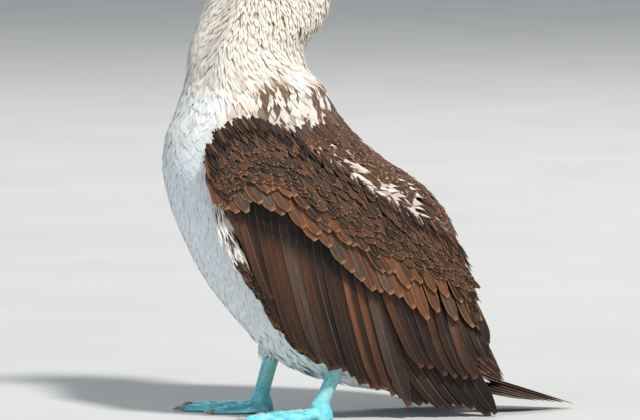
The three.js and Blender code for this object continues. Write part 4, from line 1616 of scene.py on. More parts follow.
class Wing:
    """A folded wing: a thin bed under tiers of flight feathers and coverts."""

    CORE_BOTTOM = (
        (-101, 238), (-93, 212), (-74, 186), (-44, 168), (-10, 150), (24, 136), (56, 122), (84, 110),
        (106, 102), (124, 95), (140, 88), (154, 78), (164, 66),
    )
    HAND = ((-101, 240), (-95, 208), (-84, 170), (-60, 131), (-34, 92), (-8, 65), (22, 54))
    HAND_WIDTH = 15.0
    FLIGHT_LOOK = {"form": FLIGHT, "finish": FLIGHT_FINISH, "patch": (0.02, 0.3)}
    COVERT_LOOK = {"form": COVERT, "finish": COVERT_FINISH, "fringe": Tone.TAN}
    TIERS = (
        Tier(
            "primaries", -3.4, -4.4, tones=(Tone.UMBER, Tone.SOOT, Tone.SOOT, Tone.UMBER), fringe=Tone.BROWN,
            count=9, half_width=8.5, roots=((20, 108), (58, 104), (92, 98), (126, 94)),
            tips=((100, 14), (122, 9.5), (150, 5.5), (177, 4.5)), **FLIGHT_LOOK,
        ),
        Tier(
            "secondaries", -0.9, -0.6, fringe=Tone.RUSSET, vary=0.04,
            tones=(Tone.BROWN, Tone.ASH, Tone.RUSSET, Tone.UMBER, Tone.BROWN, Tone.ASH, Tone.UMBER),
            count=22, half_width=9.0,
            roots=((-90, 230), (-72, 236), (-50, 231), (-24, 219), (3, 204), (24, 189), (44, 176)),
            tips=((-61, 178), (-35, 105), (-6, 65), (21, 50), (47, 38), (68, 28), (93, 16)),
            **FLIGHT_LOOK,
        ),
        Tier(
            "tertials", 0.8, 2.2, tones=(Tone.BROWN, Tone.UMBER, Tone.BROWN, Tone.UMBER), fringe=Tone.RUSSET,
            count=9, half_width=8.6, roots=((52, 170), (84, 160), (110, 152), (136, 146), (148, 132)),
            tips=((104, 52), (126, 46), (146, 41), (163, 48), (171, 66)), vary=0.07, **FLIGHT_LOOK,
        ),
        Tier(
            "greater_coverts", 1.6, 6.6, tones=(Tone.RUSSET, Tone.BROWN, Tone.RUSSET, Tone.ASH), vary=0.18,
            count=26, half_width=6.4,
            roots=((-98, 240), (-80, 250), (-44, 240), (-2, 208), (38, 184), (82, 166), (138, 148)),
            tips=((-90, 206), (-58, 206), (-20, 192), (18, 160), (58, 128), (106, 98), (166, 84)),
            **COVERT_LOOK,
        ),
        Tier(
            "median_coverts", 3.4, 7.6, tones=(Tone.RUSSET, Tone.BROWN, Tone.RUSSET, Tone.UMBER), vary=0.22,
            count=32, half_width=5.6,
            roots=((-100, 256), (-82, 262), (-48, 254), (-8, 224), (32, 198), (80, 176), (142, 150)),
            tips=((-94, 226), (-62, 226), (-22, 212), (18, 180), (58, 150), (104, 122), (163, 106)),
            **COVERT_LOOK,
        ),
    )
    LESSER_ROWS = 7
    LESSER_FROM = (
        (-97, 250), (-86, 272), (-62, 281), (-34, 274), (10, 245), (57, 214), (99, 189), (126, 174),
        (144, 155),
    )
    LESSER_TO = (
        (-96, 236), (-84, 246), (-62, 246), (-34, 236), (6, 208), (48, 180), (90, 160), (122, 148),
        (148, 132),
    )
    MARGINALS = 460
    LEADING_ROWS = 4
    LEADING_EACH = 46
    PALE_LONGER = 1.8
    PALE_NARROWER = 0.62
    BED_END = 10.6
    BED_COLUMNS = 60
    BED_ROWS = 10
    BED_INSET = 0.04

    def __init__(self, studio: Studio, side: Side) -> None:
        """Takes the studio and the wing's side."""
        self.studio = studio
        self.side = side

    def vane_rails(
        self, roots: Array, tips: Array, form: VaneForm, out: tuple[float, float], bow: float
    ) -> tuple[Array, Array]:
        """Runs centre lines over the sheet from roots to tips in side view.

        Args:
            roots: The roots, one a row.
            tips: The tips, one a row.
            form: The feathers' form.
            out: How far outside the sheet the root and the tip lie.
            bow: How far the line bends forwards, as a share of the length.

        Returns:
            The centre lines and the ways out along them.
        """
        shares = form.shares()[None, :, None]
        way = (tips - roots)[:, None]
        rearwards = np.stack([-way[..., 1], way[..., 0]], -1)
        flat = roots[:, None] + way * shares - rearwards * bow * np.sin(math.pi * shares)
        height = out[0] + (out[1] - out[0]) * shares[..., 0]
        x, z = flat[..., 0], flat[..., 1]
        return SHEET.point(x, z, np.broadcast_to(height, x.shape), self.side), SHEET.out(x, z, self.side)

    def lay(self, tier: Tier, roots: Array, tips: Array, half: Array, places: Array) -> None:
        """Makes one piece of feathers between given roots and tips.

        Args:
            tier: How the piece lies and looks.
            roots: The roots in side view, one a row.
            tips: The tips, one a row.
            half: The half widths.
            places: The feathers' places on the baked map.
        """
        random = self.studio.random
        count = len(roots)
        centre, out = self.vane_rails(roots, tips, tier.form, (tier.root_out, tier.tip_out), tier.bow)
        height = 0.35 * random.standard_normal(count)[:, None, None] * tier.form.shares()[None, :, None]
        centre = centre + out * height
        pick = random.integers(0, len(tier.tones), count)
        tones = np.array([tone.linear for tone in tier.tones])[pick]
        tones = tones * (0.8 + 0.4 * random.random((count, 1)))
        fringe = blend(tones, tier.fringe.linear, 0.55 + 0.45 * random.random(count))
        roll = 0.2 * random.standard_normal(count)
        rails = Rails(centre, out, half, tones, fringe, places, tier.patch, roll)
        if self.side is Side.RIGHT:
            rails.roll = rails.roll - 2 * (tier.form.tilt + rails.roll)
        name = f"wing_{self.side.word}_{tier.name}"
        mesh = self.studio.feathers(name, tier.form, rails, self.side is Side.RIGHT)
        self.studio.keep(name, mesh, self.material(tier.finish), tier.finish.slot)

    def material(self, finish: PlumageFinish) -> Material:
        """The finish's material, made once for both wings."""
        return bpy.data.materials.get(finish.name) or finish.make()

    def tier(self, tier: Tier) -> None:
        """Makes one plain tier.

        Args:
            tier: The tier.
        """
        share = np.linspace(0, 1, tier.count)
        roots = spline(np.array(tier.roots, float), share * (len(tier.roots) - 1))
        tips = spline(np.array(tier.tips, float), share * (len(tier.tips) - 1))
        random = self.studio.random
        reach = 1 + tier.vary * (2 * random.random(tier.count) - 1)
        tips = roots + (tips - roots) * reach[:, None]
        half = tier.half_width * (0.94 + 0.12 * random.random(tier.count))
        level = 0.3 if tier.patch[1] > 0.1 else 0.5 + self.TIERS.index(tier) * 0.05
        self.lay(tier, roots, tips, half, np.stack([0.03 + 0.94 * share, np.full_like(share, level)], -1))

    def lesser(self) -> None:
        """Makes the rows of lesser coverts over the forearm."""
        random = self.studio.random
        roots, tips, half, places = [], [], [], []
        top, low = np.array(self.LESSER_FROM, float), np.array(self.LESSER_TO, float)
        for row in reversed(range(self.LESSER_ROWS)):
            down = row / (self.LESSER_ROWS - 1)
            count = 54 - 2 * row
            share = (np.arange(count) + 0.5 * (row % 2)) / count
            at = share * (len(top) - 1)
            start = spline(top, at) * (1 - down) + spline(low, at) * down
            start = start + random.normal(0, 0.9, start.shape)
            length = (17 + 7 * down) * (0.85 + 0.3 * random.random(count))
            wrist = smooth_step(0, 0.14, 0.14 - share)
            angle = np.radians(-66 + 20 * down - 10 * wrist + random.normal(0, 6, count))
            roots.append(start)
            tips.append(start + headed(angle, length))
            half.append((2.6 + 1.6 * down) * (0.85 + 0.3 * random.random(count)))
            places.append(np.stack([0.02 + 0.96 * share, np.full(count, 0.75 + 0.03 * row)], -1))
        tier = Tier(
            "lesser_coverts", 4.8, 8.8, SCALE, SCALE_FINISH,
            (Tone.BROWN, Tone.UMBER, Tone.BROWN, Tone.UMBER, Tone.SOOT), Tone.TAN, bow=0.03,
        )
        self.lay(tier, *(np.concatenate(part) for part in (roots, tips, half, places)))

    def marginal(self) -> None:
        """Makes the dark, narrow feathers along the wing's upper edge."""
        random = self.studio.random
        count = self.MARGINALS
        share = np.sort(random.random(count))
        edge = MARKINGS.edge
        at = share * 0.86 * (len(edge) - 1)
        start = spline(edge, at) + random.normal(0, 1.8, (count, 2)) + np.array([-1.0, 1.5])
        angle = np.radians(-60 - 20 * smooth_step(0.7, 1.0, share) + random.normal(0, 9, count))
        length = 15 * (0.75 + 0.5 * random.random(count))
        tips = start + headed(angle, length)
        half = 1.5 * (0.8 + 0.4 * random.random(count))
        places = np.stack([0.02 + 0.96 * share, 0.96 + 0.02 * random.random(count)], -1)
        tier = Tier(
            "edge_coverts", 3.2, 9.0, HAIR, HAIR_FINISH,
            (Tone.UMBER, Tone.SOOT, Tone.UMBER, Tone.BROWN, Tone.SOOT, Tone.RUSSET), Tone.BROWN,
        )
        self.lay(tier, start, tips, half, places)

    def leading(self) -> None:
        """Makes the small scaly feathers down the wing's leading edge."""
        random = self.studio.random
        hand = np.array(self.HAND, float)
        share = np.tile(np.linspace(0.03, 0.95, self.LEADING_EACH), self.LEADING_ROWS)
        row = np.repeat(np.arange(self.LEADING_ROWS), self.LEADING_EACH)
        at = np.clip(share + 0.012 * row, 0, 1) * (len(hand) - 1)
        way = unit(spline(hand, at + 0.05) - spline(hand, at - 0.05))
        inwards = np.stack([-way[:, 1], way[:, 0]], -1)
        start = spline(hand, at) + inwards * (row * 3.0 + 0.5)[:, None] + random.normal(0, 0.8, (len(at), 2))
        length = 12 * (0.75 + 0.5 * random.random(len(at)))
        tips = start + (way + inwards * 0.1 * random.standard_normal((len(at), 1))) * length[:, None]
        half = 2.3 * (0.7 + 0.6 * random.random(len(at)))
        places = np.stack([0.02 + 0.96 * share, 0.04 + 0.03 * row], -1)
        pale = smooth_step(0.06, 0.12, share) * smooth_step(0.4, 0.32, share) > random.random(len(at))
        tips = np.where(pale[:, None], start + (tips - start) * self.PALE_LONGER, tips)
        half = half * np.where(pale, self.PALE_NARROWER, 1.0)
        tones = (Tone.SOOT, Tone.UMBER, Tone.UMBER, Tone.BROWN)
        pale_tones = (Tone.CREAM, Tone.CREAM, Tone.SNOW, Tone.CREAM, Tone.BROWN)
        kinds = (
            ("dark", ~pale, SCALE, SCALE_FINISH, tones, Tone.TAN),
            ("pale", pale, HAIR, HAIR_FINISH, pale_tones, Tone.CREAM),
        )
        for word, chosen, form, finish, own_tones, rim_tone in kinds:
            tier = Tier(f"leading_{word}", -4.2, -1.6, form, finish, own_tones, rim_tone)
            self.lay(tier, start[chosen], tips[chosen], half[chosen], places[chosen])

    def bed(self) -> None:
        """Makes the wing's thin bed of flesh and feather roots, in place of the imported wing."""
        at = np.linspace(0, self.BED_END, self.BED_COLUMNS + 1)
        top = spline(MARKINGS.WING_TOP, at)
        low = spline(np.array(self.CORE_BOTTOM, float), at)
        top = top + (low - top) * self.BED_INSET
        slab = self.slab("wing bed", top, low, self.BED_ROWS, 3.2, -3.0, 5.5)
        hand = np.array(self.HAND, float)
        front = spline(hand, np.linspace(0, len(hand) - 1, self.BED_COLUMNS + 1))
        inset = front + np.array([0.85, 0.35]) * self.HAND_WIDTH
        edge = self.slab("hand bed", inset, front, 3, -4.0, -5.2, 6.5)
        bm = bmesh.new()
        bm.from_mesh(slab)
        bm.from_mesh(edge)
        bm.to_mesh(slab)
        bm.free()
        self.studio.smooth(slab)
        self.studio.colour(slab, "Tint", all_in(Tone.SOOT.linear * 0.8, len(slab.vertices)))
        shader = Shader(f"{self.side.word} wing bed")
        fibres = shader.noise(shader.stretched(shader.place(), (500, 500, 60), 0.3), 1.0, 4)
        shade = shader.rise(fibres, 0.3, 0.7, 0.6, 1.3)
        shader.rough(fibres, 0.4, 0.0005)
        colour = shader.tinted(shade)
        self.studio.keep(
            f"wing_{self.side.word}_bed", slab, shader.dress(colour, Roughness=0.85), "plumage_brown",
            f"wing_{self.side.word}",
        )

    def slab(
        self, name: str, top: Array, low: Array, rows: int, out_top: float, out_low: float, inner: float
    ) -> Mesh:
        """Makes a closed slab of the sheet between two edges in side view.

        Args:
            name: The mesh's name.
            top: Points along one edge.
            low: As many points along the other edge.
            rows: The number of rows between them.
            out_top: How far the outer face stands out at the first edge.
            out_low: The same at the second edge.
            inner: How far the inner face lies inside the sheet.

        Returns:
            The slab's mesh.
        """
        share = np.linspace(0, 1, rows + 1)
        flat = top[:, None] * (1 - share)[None, :, None] + low[:, None] * share[None, :, None]
        height = out_top + (out_low - out_top) * share
        inside = -inner * np.sin(math.pi * (0.15 + 0.7 * share)) + np.minimum(0, height) - 0.6
        both = [
            SHEET.point(flat[..., 0], flat[..., 1], np.broadcast_to(lift, flat.shape[:2]), self.side)
            for lift in (height, inside)
        ]
        ring = np.concatenate([both[0], both[1][:, ::-1]], axis=1)
        ring[..., 2] = np.maximum(ring[..., 2], Studio.LEAST_HEIGHT)
        return self.studio.rings(name, ring)

    def build(self) -> None:
        """Makes the whole wing."""
        self.bed()
        for tier in self.TIERS:
            self.tier(tier)
        self.lesser()
        self.marginal()
        self.leading()


class Tail:
    """The wedge of tail feathers and the coverts over and under its root."""

    TIP = (262.0, 2.6)
    PAIRS = 6
    HALF_WIDTH = 7.4
    SPREAD = 3.8
    DROP = 2.2
    SHORTER = 0.075
    COVERTS = 420

    def __init__(self, studio: Studio) -> None:
        """Finds the tail's root and its ways along and up.

        Args:
            studio: The studio.
        """
        self.studio = studio
        self.root = BODY.cut(np.array(0.0))[0]
        self.along = np.array([self.TIP[0], 0, self.TIP[1]]) - self.root
        self.up = unit(np.array([-self.along[2], 0, self.along[0]]))

    def feathers(self) -> None:
        """Makes the tail feathers, the middle pair on top."""
        form = VaneForm(
            sides=8, rows=16, widths=(0.5, 0.8, 0.95, 1.0, 1.0, 0.92, 0.7, 0.1), thickness=0.8, camber=0.4,
        )
        random = self.studio.random
        share = form.shares()
        centre, roll, tones, places = [], [], [], []
        for pair in reversed(range(self.PAIRS)):
            for side in Side:
                length = (1 - self.SHORTER * pair) * (0.985 + 0.03 * random.random())
                fan = 0.55 + 0.45 * share
                high = (3.5 - pair * self.DROP) * (1.5 - 0.85 * share)
                line = self.root + self.along * (share * length)[:, None] + self.up * high[:, None]
                line[:, 1] = side.value * (1.2 + pair * self.SPREAD) * fan
                centre.append(line)
                roll.append(side.value * 1.0 + 0.15 * random.standard_normal())
                tones.append(Tone.UMBER.linear * (0.75 + 0.4 * random.random()))
                places.append((0.5 + side.value * (0.04 + 0.07 * pair), 0.5))
        centre = np.array(centre)
        out = np.broadcast_to(self.up, centre.shape)
        tint = np.array(tones)
        fringe = blend(tint, Tone.TAN.linear, np.full(len(tint), 0.6))
        half = self.HALF_WIDTH * (0.95 + 0.1 * random.random(len(tint)))
        rails = Rails(centre, out, half, tint, fringe, np.array(places), (0.06, 0.9), np.array(roll))
        finish = PlumageFinish(
            "tail feathers", "plumage_brown", Rim.ROUND, 0.84, 0.3, 90, shaft=0.04,
            shaft_tone=(0.45, 0.24, 0.12, 1), roughness=0.55, sheen=0.05,
        )
        mesh = self.studio.feathers("tail_feathers", form, rails)
        self.studio.keep("tail_feathers", mesh, finish.make(), finish.slot, "tail")

    def coverts(self) -> None:
        """Makes the pale coverts over and under the tail's root, and the flanks beside it."""
        form = VaneForm(rows=7, widths=(0.35, 0.8, 1.0, 0.95, 0.7, 0.08), thickness=0.6, camber=0.6)
        random = self.studio.random
        count = self.COVERTS
        turn = (random.random(count) * 2 - 1) * math.pi
        start = 0.05 + 0.8 * random.random(count)
        reach = 0.16 + 0.26 * random.random(count) * np.where(np.abs(turn) < 1.2, 1.1, 0.7)
        roots = BODY.point(start, turn, -2.0)
        depth = 9.5 * np.cos(turn) * (1 - reach) + np.cos(turn) * 4.5
        tips = self.root + self.along * reach[:, None] + self.up * depth[:, None]
        tips[:, 1] = (23 * (1 - reach) + 2) * np.sin(turn)
        share = form.shares()[None, :, None]
        centre = roots[:, None] * (1 - share) + tips[:, None] * share
        out_root = BODY.out(start, turn)
        out_tip = unit(self.up * np.cos(turn)[:, None] + SIDEWAYS * np.sin(turn)[:, None])
        out = unit(out_root[:, None] * (1 - share) + out_tip[:, None] * share)
        centre = centre + out * (5.0 * np.sin(math.pi * share) ** 0.8)
        brown = smooth_step(1.5, 1.25, np.abs(turn)) * (random.random(count) < 0.93)
        shade = 1 - 0.35 * brown * random.random(count)
        tint = blend(Tone.SNOW.linear, Tone.UMBER.linear, brown) * shade[:, None]
        fringe = blend(tint, Tone.TAN.linear, brown)
        half = 4.2 * (0.8 + 0.4 * random.random(count))
        place = np.stack([turn / (2 * math.pi) + 0.5, start], -1)
        rails = Rails(centre, out, half, tint, fringe, place)
        finish = PlumageFinish("tail coverts", "plumage_white", Rim.ROUND, 0.84, 0.2, 24)
        mesh = self.studio.feathers("coat_tail_coverts", form, rails)
        self.studio.keep("coat_tail_coverts", mesh, finish.make(), finish.slot)

    def build(self) -> None:
        """Makes the whole tail."""
        self.feathers()
        self.coverts()


@dataclass(frozen=True)
class Toe:
    """A toe's length, angle outwards from the way ahead, and radii at its root and tip."""

    name: str
    length: float
    angle: float
    root_radius: float
    tip_radius: float


@dataclass
class Foot:
    """A leg with its webbed foot, four toes and claws, and its feathered thigh."""

    studio: Studio
    side: Side
    x: float
    lean: float
    turn: float
    spread: float = 38.0
    ankle: float = 15.0
    top: float = 52.0
    half_depth: float = 7.4
    half_width: float = 6.0
    thigh_top: float = 96.0
    claw_length: float = 11.0
    claw_depth: float = 2.7
    claw_width: float = 2.1
    toes: tuple[Toe, ...] = (
        Toe("outer", 70, 25, 6, 3.1), Toe("middle", 74, 3, 6.4, 3.3), Toe("inner", 54, -24, 6, 3.1),
        Toe("hind", 27, -92, 5, 2.7),
    )
    # A shaded and a sunlit copy of the foot's blue, mixed as painted shade and painted light, and the leg's
    # paler blue.
    DEEP = np.array([0.09, 0.58, 0.74])
    BRIGHT = np.array([0.32, 0.9, 0.96])
    PALE = np.array([0.36, 0.78, 0.74])
    SCUTE_TONE = np.array([0.34, 0.86, 0.91])
    SKIN_NAME = "blue foot skin"
    PLUMES = 420
    LEAST_HEIGHT = 0.25
    CLAW_SINKS = 1.2
    SCUTE_EVERY = 2.5
    SCUTE_REACH = 3.3

    def point(self, angle: float, distance: Array, height: Array) -> Array:
        """Finds points at an angle and distance from the leg.

        Args:
            angle: Degrees outwards from the way ahead.
            distance: The distances, in millimetres.
            height: The heights.

        Returns:
            The points, in millimetres.
        """
        turned = math.radians(angle + self.turn * self.side.value)
        x = self.x - distance * math.cos(turned)
        y = self.side.value * (self.spread + distance * math.sin(turned))
        return points_at(x, y, height)

    def skin(self) -> Mesh:
        """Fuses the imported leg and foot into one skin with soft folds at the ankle.

        Returns:
            The skin's mesh.
        """
        nodes = [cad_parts[f"{part}_{self.side.word}"].data for part in ("foot", "leg")]
        t = np.linspace(0, 1, 13)[:, None]
        turn = circle(24)[None]
        height = 8 + (self.top - 6 - 8) * t
        lean = self.lean * np.maximum(0, (height - self.ankle) / (self.top - self.ankle))
        fold = 1 + 0.07 * np.sin(t * 44) * smooth_step(0.62, 0.2, t)
        x = self.x + lean + self.half_depth * fold * np.cos(turn)
        y = self.side.value * self.spread + self.half_width * fold * np.sin(turn)
        core = self.studio.rings("ankle core", points_at(x, y, height))
        mesh = self.studio.remesh(f"foot_skin_{self.side.word}", [*nodes, core], 0.9, 4)
        points = points_of(mesh) / MM
        ripple = cloud(points, 5, 2) * 0.7 + cloud(points, 2.2, 9) * 0.25
        points[:, 2] += ripple * smooth_step(1.2, 3.0, points[:, 2])
        mesh.vertices.foreach_set("co", (points * MM).astype(np.float32).ravel())
        high = smooth_step(8, 30, points[:, 2] + cloud(points, 9) * 8)
        # Random patches of painted shade and painted light on the blue skin, turning paler up the leg.
        sunlit_share = np.clip(cloud(points, 12, 4)[:, None] * 0.9 + 0.55, 0, 1)
        self.studio.colour(mesh, "Tint", blend(self.DEEP * (1 - sunlit_share) + self.BRIGHT * sunlit_share, self.PALE, high))
        names = [f"leg_{self.side.word}", f"foot_{self.side.word}"]
        self.studio.keep(f"foot_skin_{self.side.word}", mesh, self.finish(), "blue_skin", *names)
        return mesh

    def finish(self) -> Material:
        """Builds the leathery, finely scaled blue skin, made once for both feet.

        Returns:
            The material.
        """
        if self.SKIN_NAME in bpy.data.materials:
            return bpy.data.materials[self.SKIN_NAME]
        shader = Shader(self.SKIN_NAME)
        place = shader.place()
        scales = shader.cells(place, 720)
        lines = shader.noise(shader.stretched(place, (140, 900, 300)), 1.0, 3)
        pits = shader.rise(scales, 0.0, 0.12)
        scaly = shader.rise(scales, -0.03, 0.16, 0.72, 1.08)
        shade = shader.maths("MULTIPLY", scaly, shader.rise(lines, 0.3, 0.7, 0.85, 1.12))
        colour = shader.tinted(shade)
        shader.rough(shader.maths("MULTIPLY_ADD", lines, 0.6, pits), 0.5, 0.0005)
        return shader.dress(
            colour, Roughness=0.42, Specular_IOR_Level=0.45, Subsurface_Weight=0.1, Subsurface_Scale=0.002,
        )

    def scutes(self, skin: Mesh) -> None:
        """Sets overlapping scutes along the toes and up the front of the leg.

        Args:
            skin: The foot's skin, which the scutes lie on.
        """
        form = VaneForm(sides=6, rows=4, widths=(0.75, 1.0, 1.0, 0.85, 0.4), thickness=0.6, camber=0.9)
        bm = bmesh.new()
        bm.from_mesh(skin)
        tree = BVHTree.FromBMesh(bm)
        bm.free()
        centre, out, half = [], [], []
        share = form.shares()
        for toe in self.toes:
            for start in np.arange(9, toe.length - 5, self.SCUTE_EVERY):
                at = start + self.SCUTE_REACH * share
                line = self.point(toe.angle, at, np.zeros_like(at))
                line[:, 2] = [self.met(tree, place + [0, 0, 60], (0, 0, -1), 2) for place in line]
                line[:, 2] += 0.05 + 0.7 * share
                centre.append(line)
                out.append(np.broadcast_to([0.0, 0.0, 1.0], (len(share), 3)))
                radius = toe.root_radius + (toe.tip_radius - toe.root_radius) * start / toe.length
                half.append(radius * 0.55)
        for height in np.arange(self.ankle, self.top - 3, 2.9):
            line = points_at(0, self.side.value * self.spread, height - 3.6 * share)
            line[:, 0] = [self.met(tree, place - [150, 0, 0], (1, 0, 0), 0) for place in line]
            line[:, 0] -= 0.05 + 0.7 * share
            centre.append(line)
            out.append(np.broadcast_to([-1.0, 0.0, 0.0], (len(share), 3)))
            half.append(3.2)
        count = len(half)
        tint = self.SCUTE_TONE * (0.8 + 0.4 * self.studio.random.random((count, 1)))
        place = np.stack([np.linspace(0.1, 0.9, count), np.full(count, 0.5)], -1)
        rails = Rails(np.array(centre), np.array(out), np.array(half), tint, tint, place)
        mesh = self.studio.feathers(f"scutes_{self.side.word}", form, rails)
        self.studio.keep(f"scutes_{self.side.word}", mesh, self.finish(), "blue_skin")

    def met(self, tree: BVHTree, start: Array, way: tuple[float, float, float], axis: int) -> float:
        """Finds where a line meets the foot's skin.

        Args:
            tree: The skin's faces.
            start: The line's start, in millimetres.
            way: Its way.
            axis: The coordinate that is wanted.

        Returns:
            That coordinate of the first point met, in millimetres.
        """
        found = tree.ray_cast(Vector(self.studio.metres(start)), Vector(way))[0]
        if found is None:
            near = start - np.array([0, 0, 58.0 if axis == 2 else 0])
            found = tree.find_nearest(Vector(self.studio.metres(near)))[0]
        return found[axis] / MM - (self.studio.shift if axis == 0 else 0)

    def claws(self) -> None:
        """Makes the four curved claws."""
        tones = (0.2, 0.2, 0.2, 1), (0.5, 0.49, 0.46, 1)
        horn = HornFinish("claw horn", "claw", *tones, (500, 500, 300), 0.38)
        material = bpy.data.materials.get(horn.name) or horn.make()
        for toe in self.toes:
            share = np.linspace(0, 1, 14)[:, None]
            around = circle(16)[None]
            size = np.cos(share * math.pi / 2) ** 0.7 * 0.97 + 0.03
            height = 2.6 + 1.3 * np.sin(share * math.pi * 0.8) - 1.7 * share**2
            reach = toe.length - self.CLAW_SINKS + share * (self.claw_length + self.CLAW_SINKS)
            middle = self.point(toe.angle, reach, height)
            sideways = self.point(toe.angle + 90, 1.0, 0.0) - self.point(toe.angle, 0.0, 0.0)
            deep = self.claw_depth * size * np.cos(around)
            wide = self.claw_width * size * np.sin(around)
            points = middle + np.array([0, 0, 1.0]) * deep[..., None] + sideways * wide[..., None]
            points[..., 2] = np.maximum(points[..., 2], self.LEAST_HEIGHT)
            mesh = self.studio.rings("claw", points)
            node = f"claw_{self.side.word}_{toe.name}"
            self.studio.keep(node + "_horn", mesh, material, "claw", node)

    def thigh(self) -> Mesh:
        """Lofts the thigh under its feathers.

        Returns:
            The thigh's mesh.
        """
        t = np.linspace(0, 1, 12)[:, None]
        turn = circle(28)[None]
        x = self.x + self.lean * (1 + 0.7 * t) + 14 * t + (9 + 14 * np.sqrt(t)) * np.cos(turn)
        y = self.side.value * self.spread + (6.5 + 5 * np.sqrt(t)) * np.sin(turn)
        height = self.top + 1 + (self.thigh_top - self.top) * t
        return self.studio.rings("thigh", points_at(x, y, height))

    def thigh_feathers(self) -> None:
        """Makes the wispy feathers of the thigh down to the bare leg."""
        form = VaneForm(rows=6, widths=(0.4, 0.85, 1.0, 0.8, 0.5, 0.05), thickness=0.5, camber=0.4)
        random = self.studio.random
        count = self.PLUMES
        turn = random.random(count) * 2 * math.pi
        t = random.random(count)
        share = form.shares()[None]
        fall = 19 * (0.75 + 0.5 * random.random((count, 1))) * share
        root = self.top + 17 + (self.thigh_top - self.top - 8) * t[:, None]
        height = root - fall
        level = np.clip((height - self.top) / (self.thigh_top - self.top), -0.12, 1)
        thick = np.sqrt(np.maximum(level, 0.02))
        lift = -1.5 + 2.6 * share
        middle = self.x + self.lean * (1 + 0.7 * level) + 14 * level
        x = middle + (9.5 + 15 * thick + lift) * np.cos(turn)[:, None]
        y = self.side.value * self.spread + (7.5 + 5 * thick + lift) * np.sin(turn)[:, None]
        centre = points_at(x, y, height)
        out = points_at(np.cos(turn), np.sin(turn), 0.2)[:, None].repeat(form.rows + 1, 1)
        tint = np.clip(Tone.SNOW.linear * (0.92 + 0.1 * random.random((count, 1))), 0, 1)
        place = np.stack([turn / (2 * math.pi), 0.05 + 0.9 * t], -1)
        rails = Rails(centre, out, 2.6 * (0.7 + 0.6 * random.random(count)), tint, tint, place)
        name = f"{self.side.word} thigh plumes"
        finish = PlumageFinish(name, "plumage_white", Rim.SIDES, 0.8, 0.08, 20, bump=0.25)
        mesh = self.studio.feathers(f"coat_thigh_{self.side.word}", form, rails)
        self.studio.keep(f"coat_thigh_{self.side.word}", mesh, finish.make(), finish.slot)

    def build(self) -> None:
        """Makes the leg, the foot and the thigh's feathers."""
        self.scutes(self.skin())
        self.claws()
        self.thigh_feathers()


@dataclass(frozen=True)
class Lamp:
    """A soft square light, by its place round the bird and its strength."""

    name: str
    azimuth: float
    elevation: float
    distance: float
    size: float
    power: float
    colour: tuple[float, float, float]


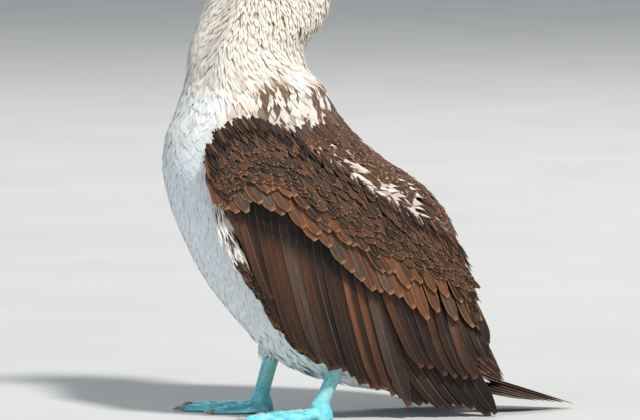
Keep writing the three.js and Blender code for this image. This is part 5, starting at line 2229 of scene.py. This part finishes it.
class Setting:
    """The pale floor, the soft lights and the camera at the photo's viewing angle."""

    LAMPS = (
        Lamp("key", 24, 54, 18.0, 2.0, 4000, (1.0, 0.98, 0.95)),
        Lamp("fill", -70, 14, 6.0, 3.4, 62, (0.4, 0.76, 1.0)),
        Lamp("rear", 160, 45, 6.0, 2.6, 130, (1.0, 0.98, 0.95)),
    )
    AZIMUTH = -10.0
    ELEVATION = 5.0
    DISTANCE = 4.2
    LENS = 250.5
    AIM = (16.97, 0.0, 194.3)
    FLOOR_HALF = 12.0
    SKY = (0.78, 0.88, 1.0, 1)
    SKY_STRENGTH = 0.3

    def stand(
        self, item: bpy.types.Object, azimuth: float, elevation: float, distance: float, aim: Vector
    ) -> None:
        """Stands a camera or a light at a place round the bird, turned towards it.

        Args:
            item: The camera or the light.
            azimuth: Its azimuth, in degrees.
            elevation: Its elevation.
            distance: Its distance, in metres.
            aim: The point that it looks at.
        """
        a, e = math.radians(azimuth), math.radians(elevation)
        way = Vector((math.sin(a) * math.cos(e), -math.cos(a) * math.cos(e), math.sin(e)))
        item.location = aim + way * distance
        item.rotation_mode = "QUATERNION"
        item.rotation_quaternion = (-way).to_track_quat("-Z", "Y")
        bpy.context.scene.collection.objects.link(item)

    def build(self, studio: Studio) -> None:
        """Makes the floor, the lights, the world's light and the camera.

        Args:
            studio: The studio.
        """
        aim = Vector(studio.metres(np.array(self.AIM)))
        self.camera(aim)
        for lamp in self.LAMPS:
            self.lamp(lamp, aim)
        self.floor()
        world = bpy.data.worlds.new("soft surroundings")
        world.use_nodes = True
        background = world.node_tree.nodes["Background"]
        background.inputs["Color"].default_value = self.SKY
        background.inputs["Strength"].default_value = self.SKY_STRENGTH
        bpy.context.scene.world = world
        bpy.context.scene.view_settings.view_transform = "Standard"

    def camera(self, aim: Vector) -> None:
        """Makes the camera.

        Args:
            aim: The point that it looks at.
        """
        data = bpy.data.cameras.new("photo camera")
        data.lens = self.LENS
        camera = bpy.data.objects.new("photo camera", data)
        self.stand(camera, self.AZIMUTH, self.ELEVATION, self.DISTANCE, aim)
        bpy.context.scene.camera = camera

    def lamp(self, lamp: Lamp, aim: Vector) -> None:
        """Makes one soft light.

        Args:
            lamp: The light.
            aim: The point that it shines at.
        """
        data = bpy.data.lights.new(lamp.name, "AREA")
        data.size = lamp.size
        data.energy = lamp.power
        data.color = lamp.colour
        light = bpy.data.objects.new(lamp.name, data)
        self.stand(light, lamp.azimuth, lamp.elevation, lamp.distance, aim)

    def floor(self) -> None:
        """Makes the plain pale floor."""
        bm = bmesh.new()
        bmesh.ops.create_grid(bm, x_segments=4, y_segments=4, size=self.FLOOR_HALF)
        mesh = bpy.data.meshes.new("floor")
        bm.to_mesh(mesh)
        bm.free()
        shader = Shader("pale floor")
        soft = shader.noise(shader.place(), 3, 4)
        colour = shader.mix(shader.rise(soft, 0.3, 0.7), (0.50, 0.50, 0.49, 1), (0.53, 0.53, 0.52, 1))
        mesh.materials.append(shader.dress(colour, Roughness=0.8))
        floor = bpy.data.objects.new("floor", mesh)
        bpy.context.scene.collection.objects.link(floor)


class Booby:
    """The whole bird."""

    SEED = 20

    def __init__(self) -> None:
        """Prepares the sub-assemblies."""
        self.studio = Studio(self.SEED)
        self.face = BareFace(self.studio)
        self.feet = [
            Foot(self.studio, Side.LEFT, x=11, lean=18, turn=-3),
            Foot(self.studio, Side.RIGHT, x=-33, lean=10, turn=2),
        ]

    def build(self) -> None:
        """Makes the sub-assemblies in order."""
        Setting().build(self.studio)
        Flesh().build(self.studio, [foot.thigh() for foot in self.feet])
        self.face.build()
        for side in Side:
            Eye(self.studio, side).build()
        Bill().build(self.studio)
        for side in Side:
            Wing(self.studio, side).build()
        Tail(self.studio).build()
        for foot in self.feet:
            foot.build()
        Coat(self.studio, self.face).build()


def main() -> None:
    """Builds the bird."""
    logging.basicConfig(level=logging.INFO, format="%(name)s: %(message)s")
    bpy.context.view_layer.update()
    Booby().build()
    bpy.context.view_layer.update()


if __name__ == "__main__":
    main()
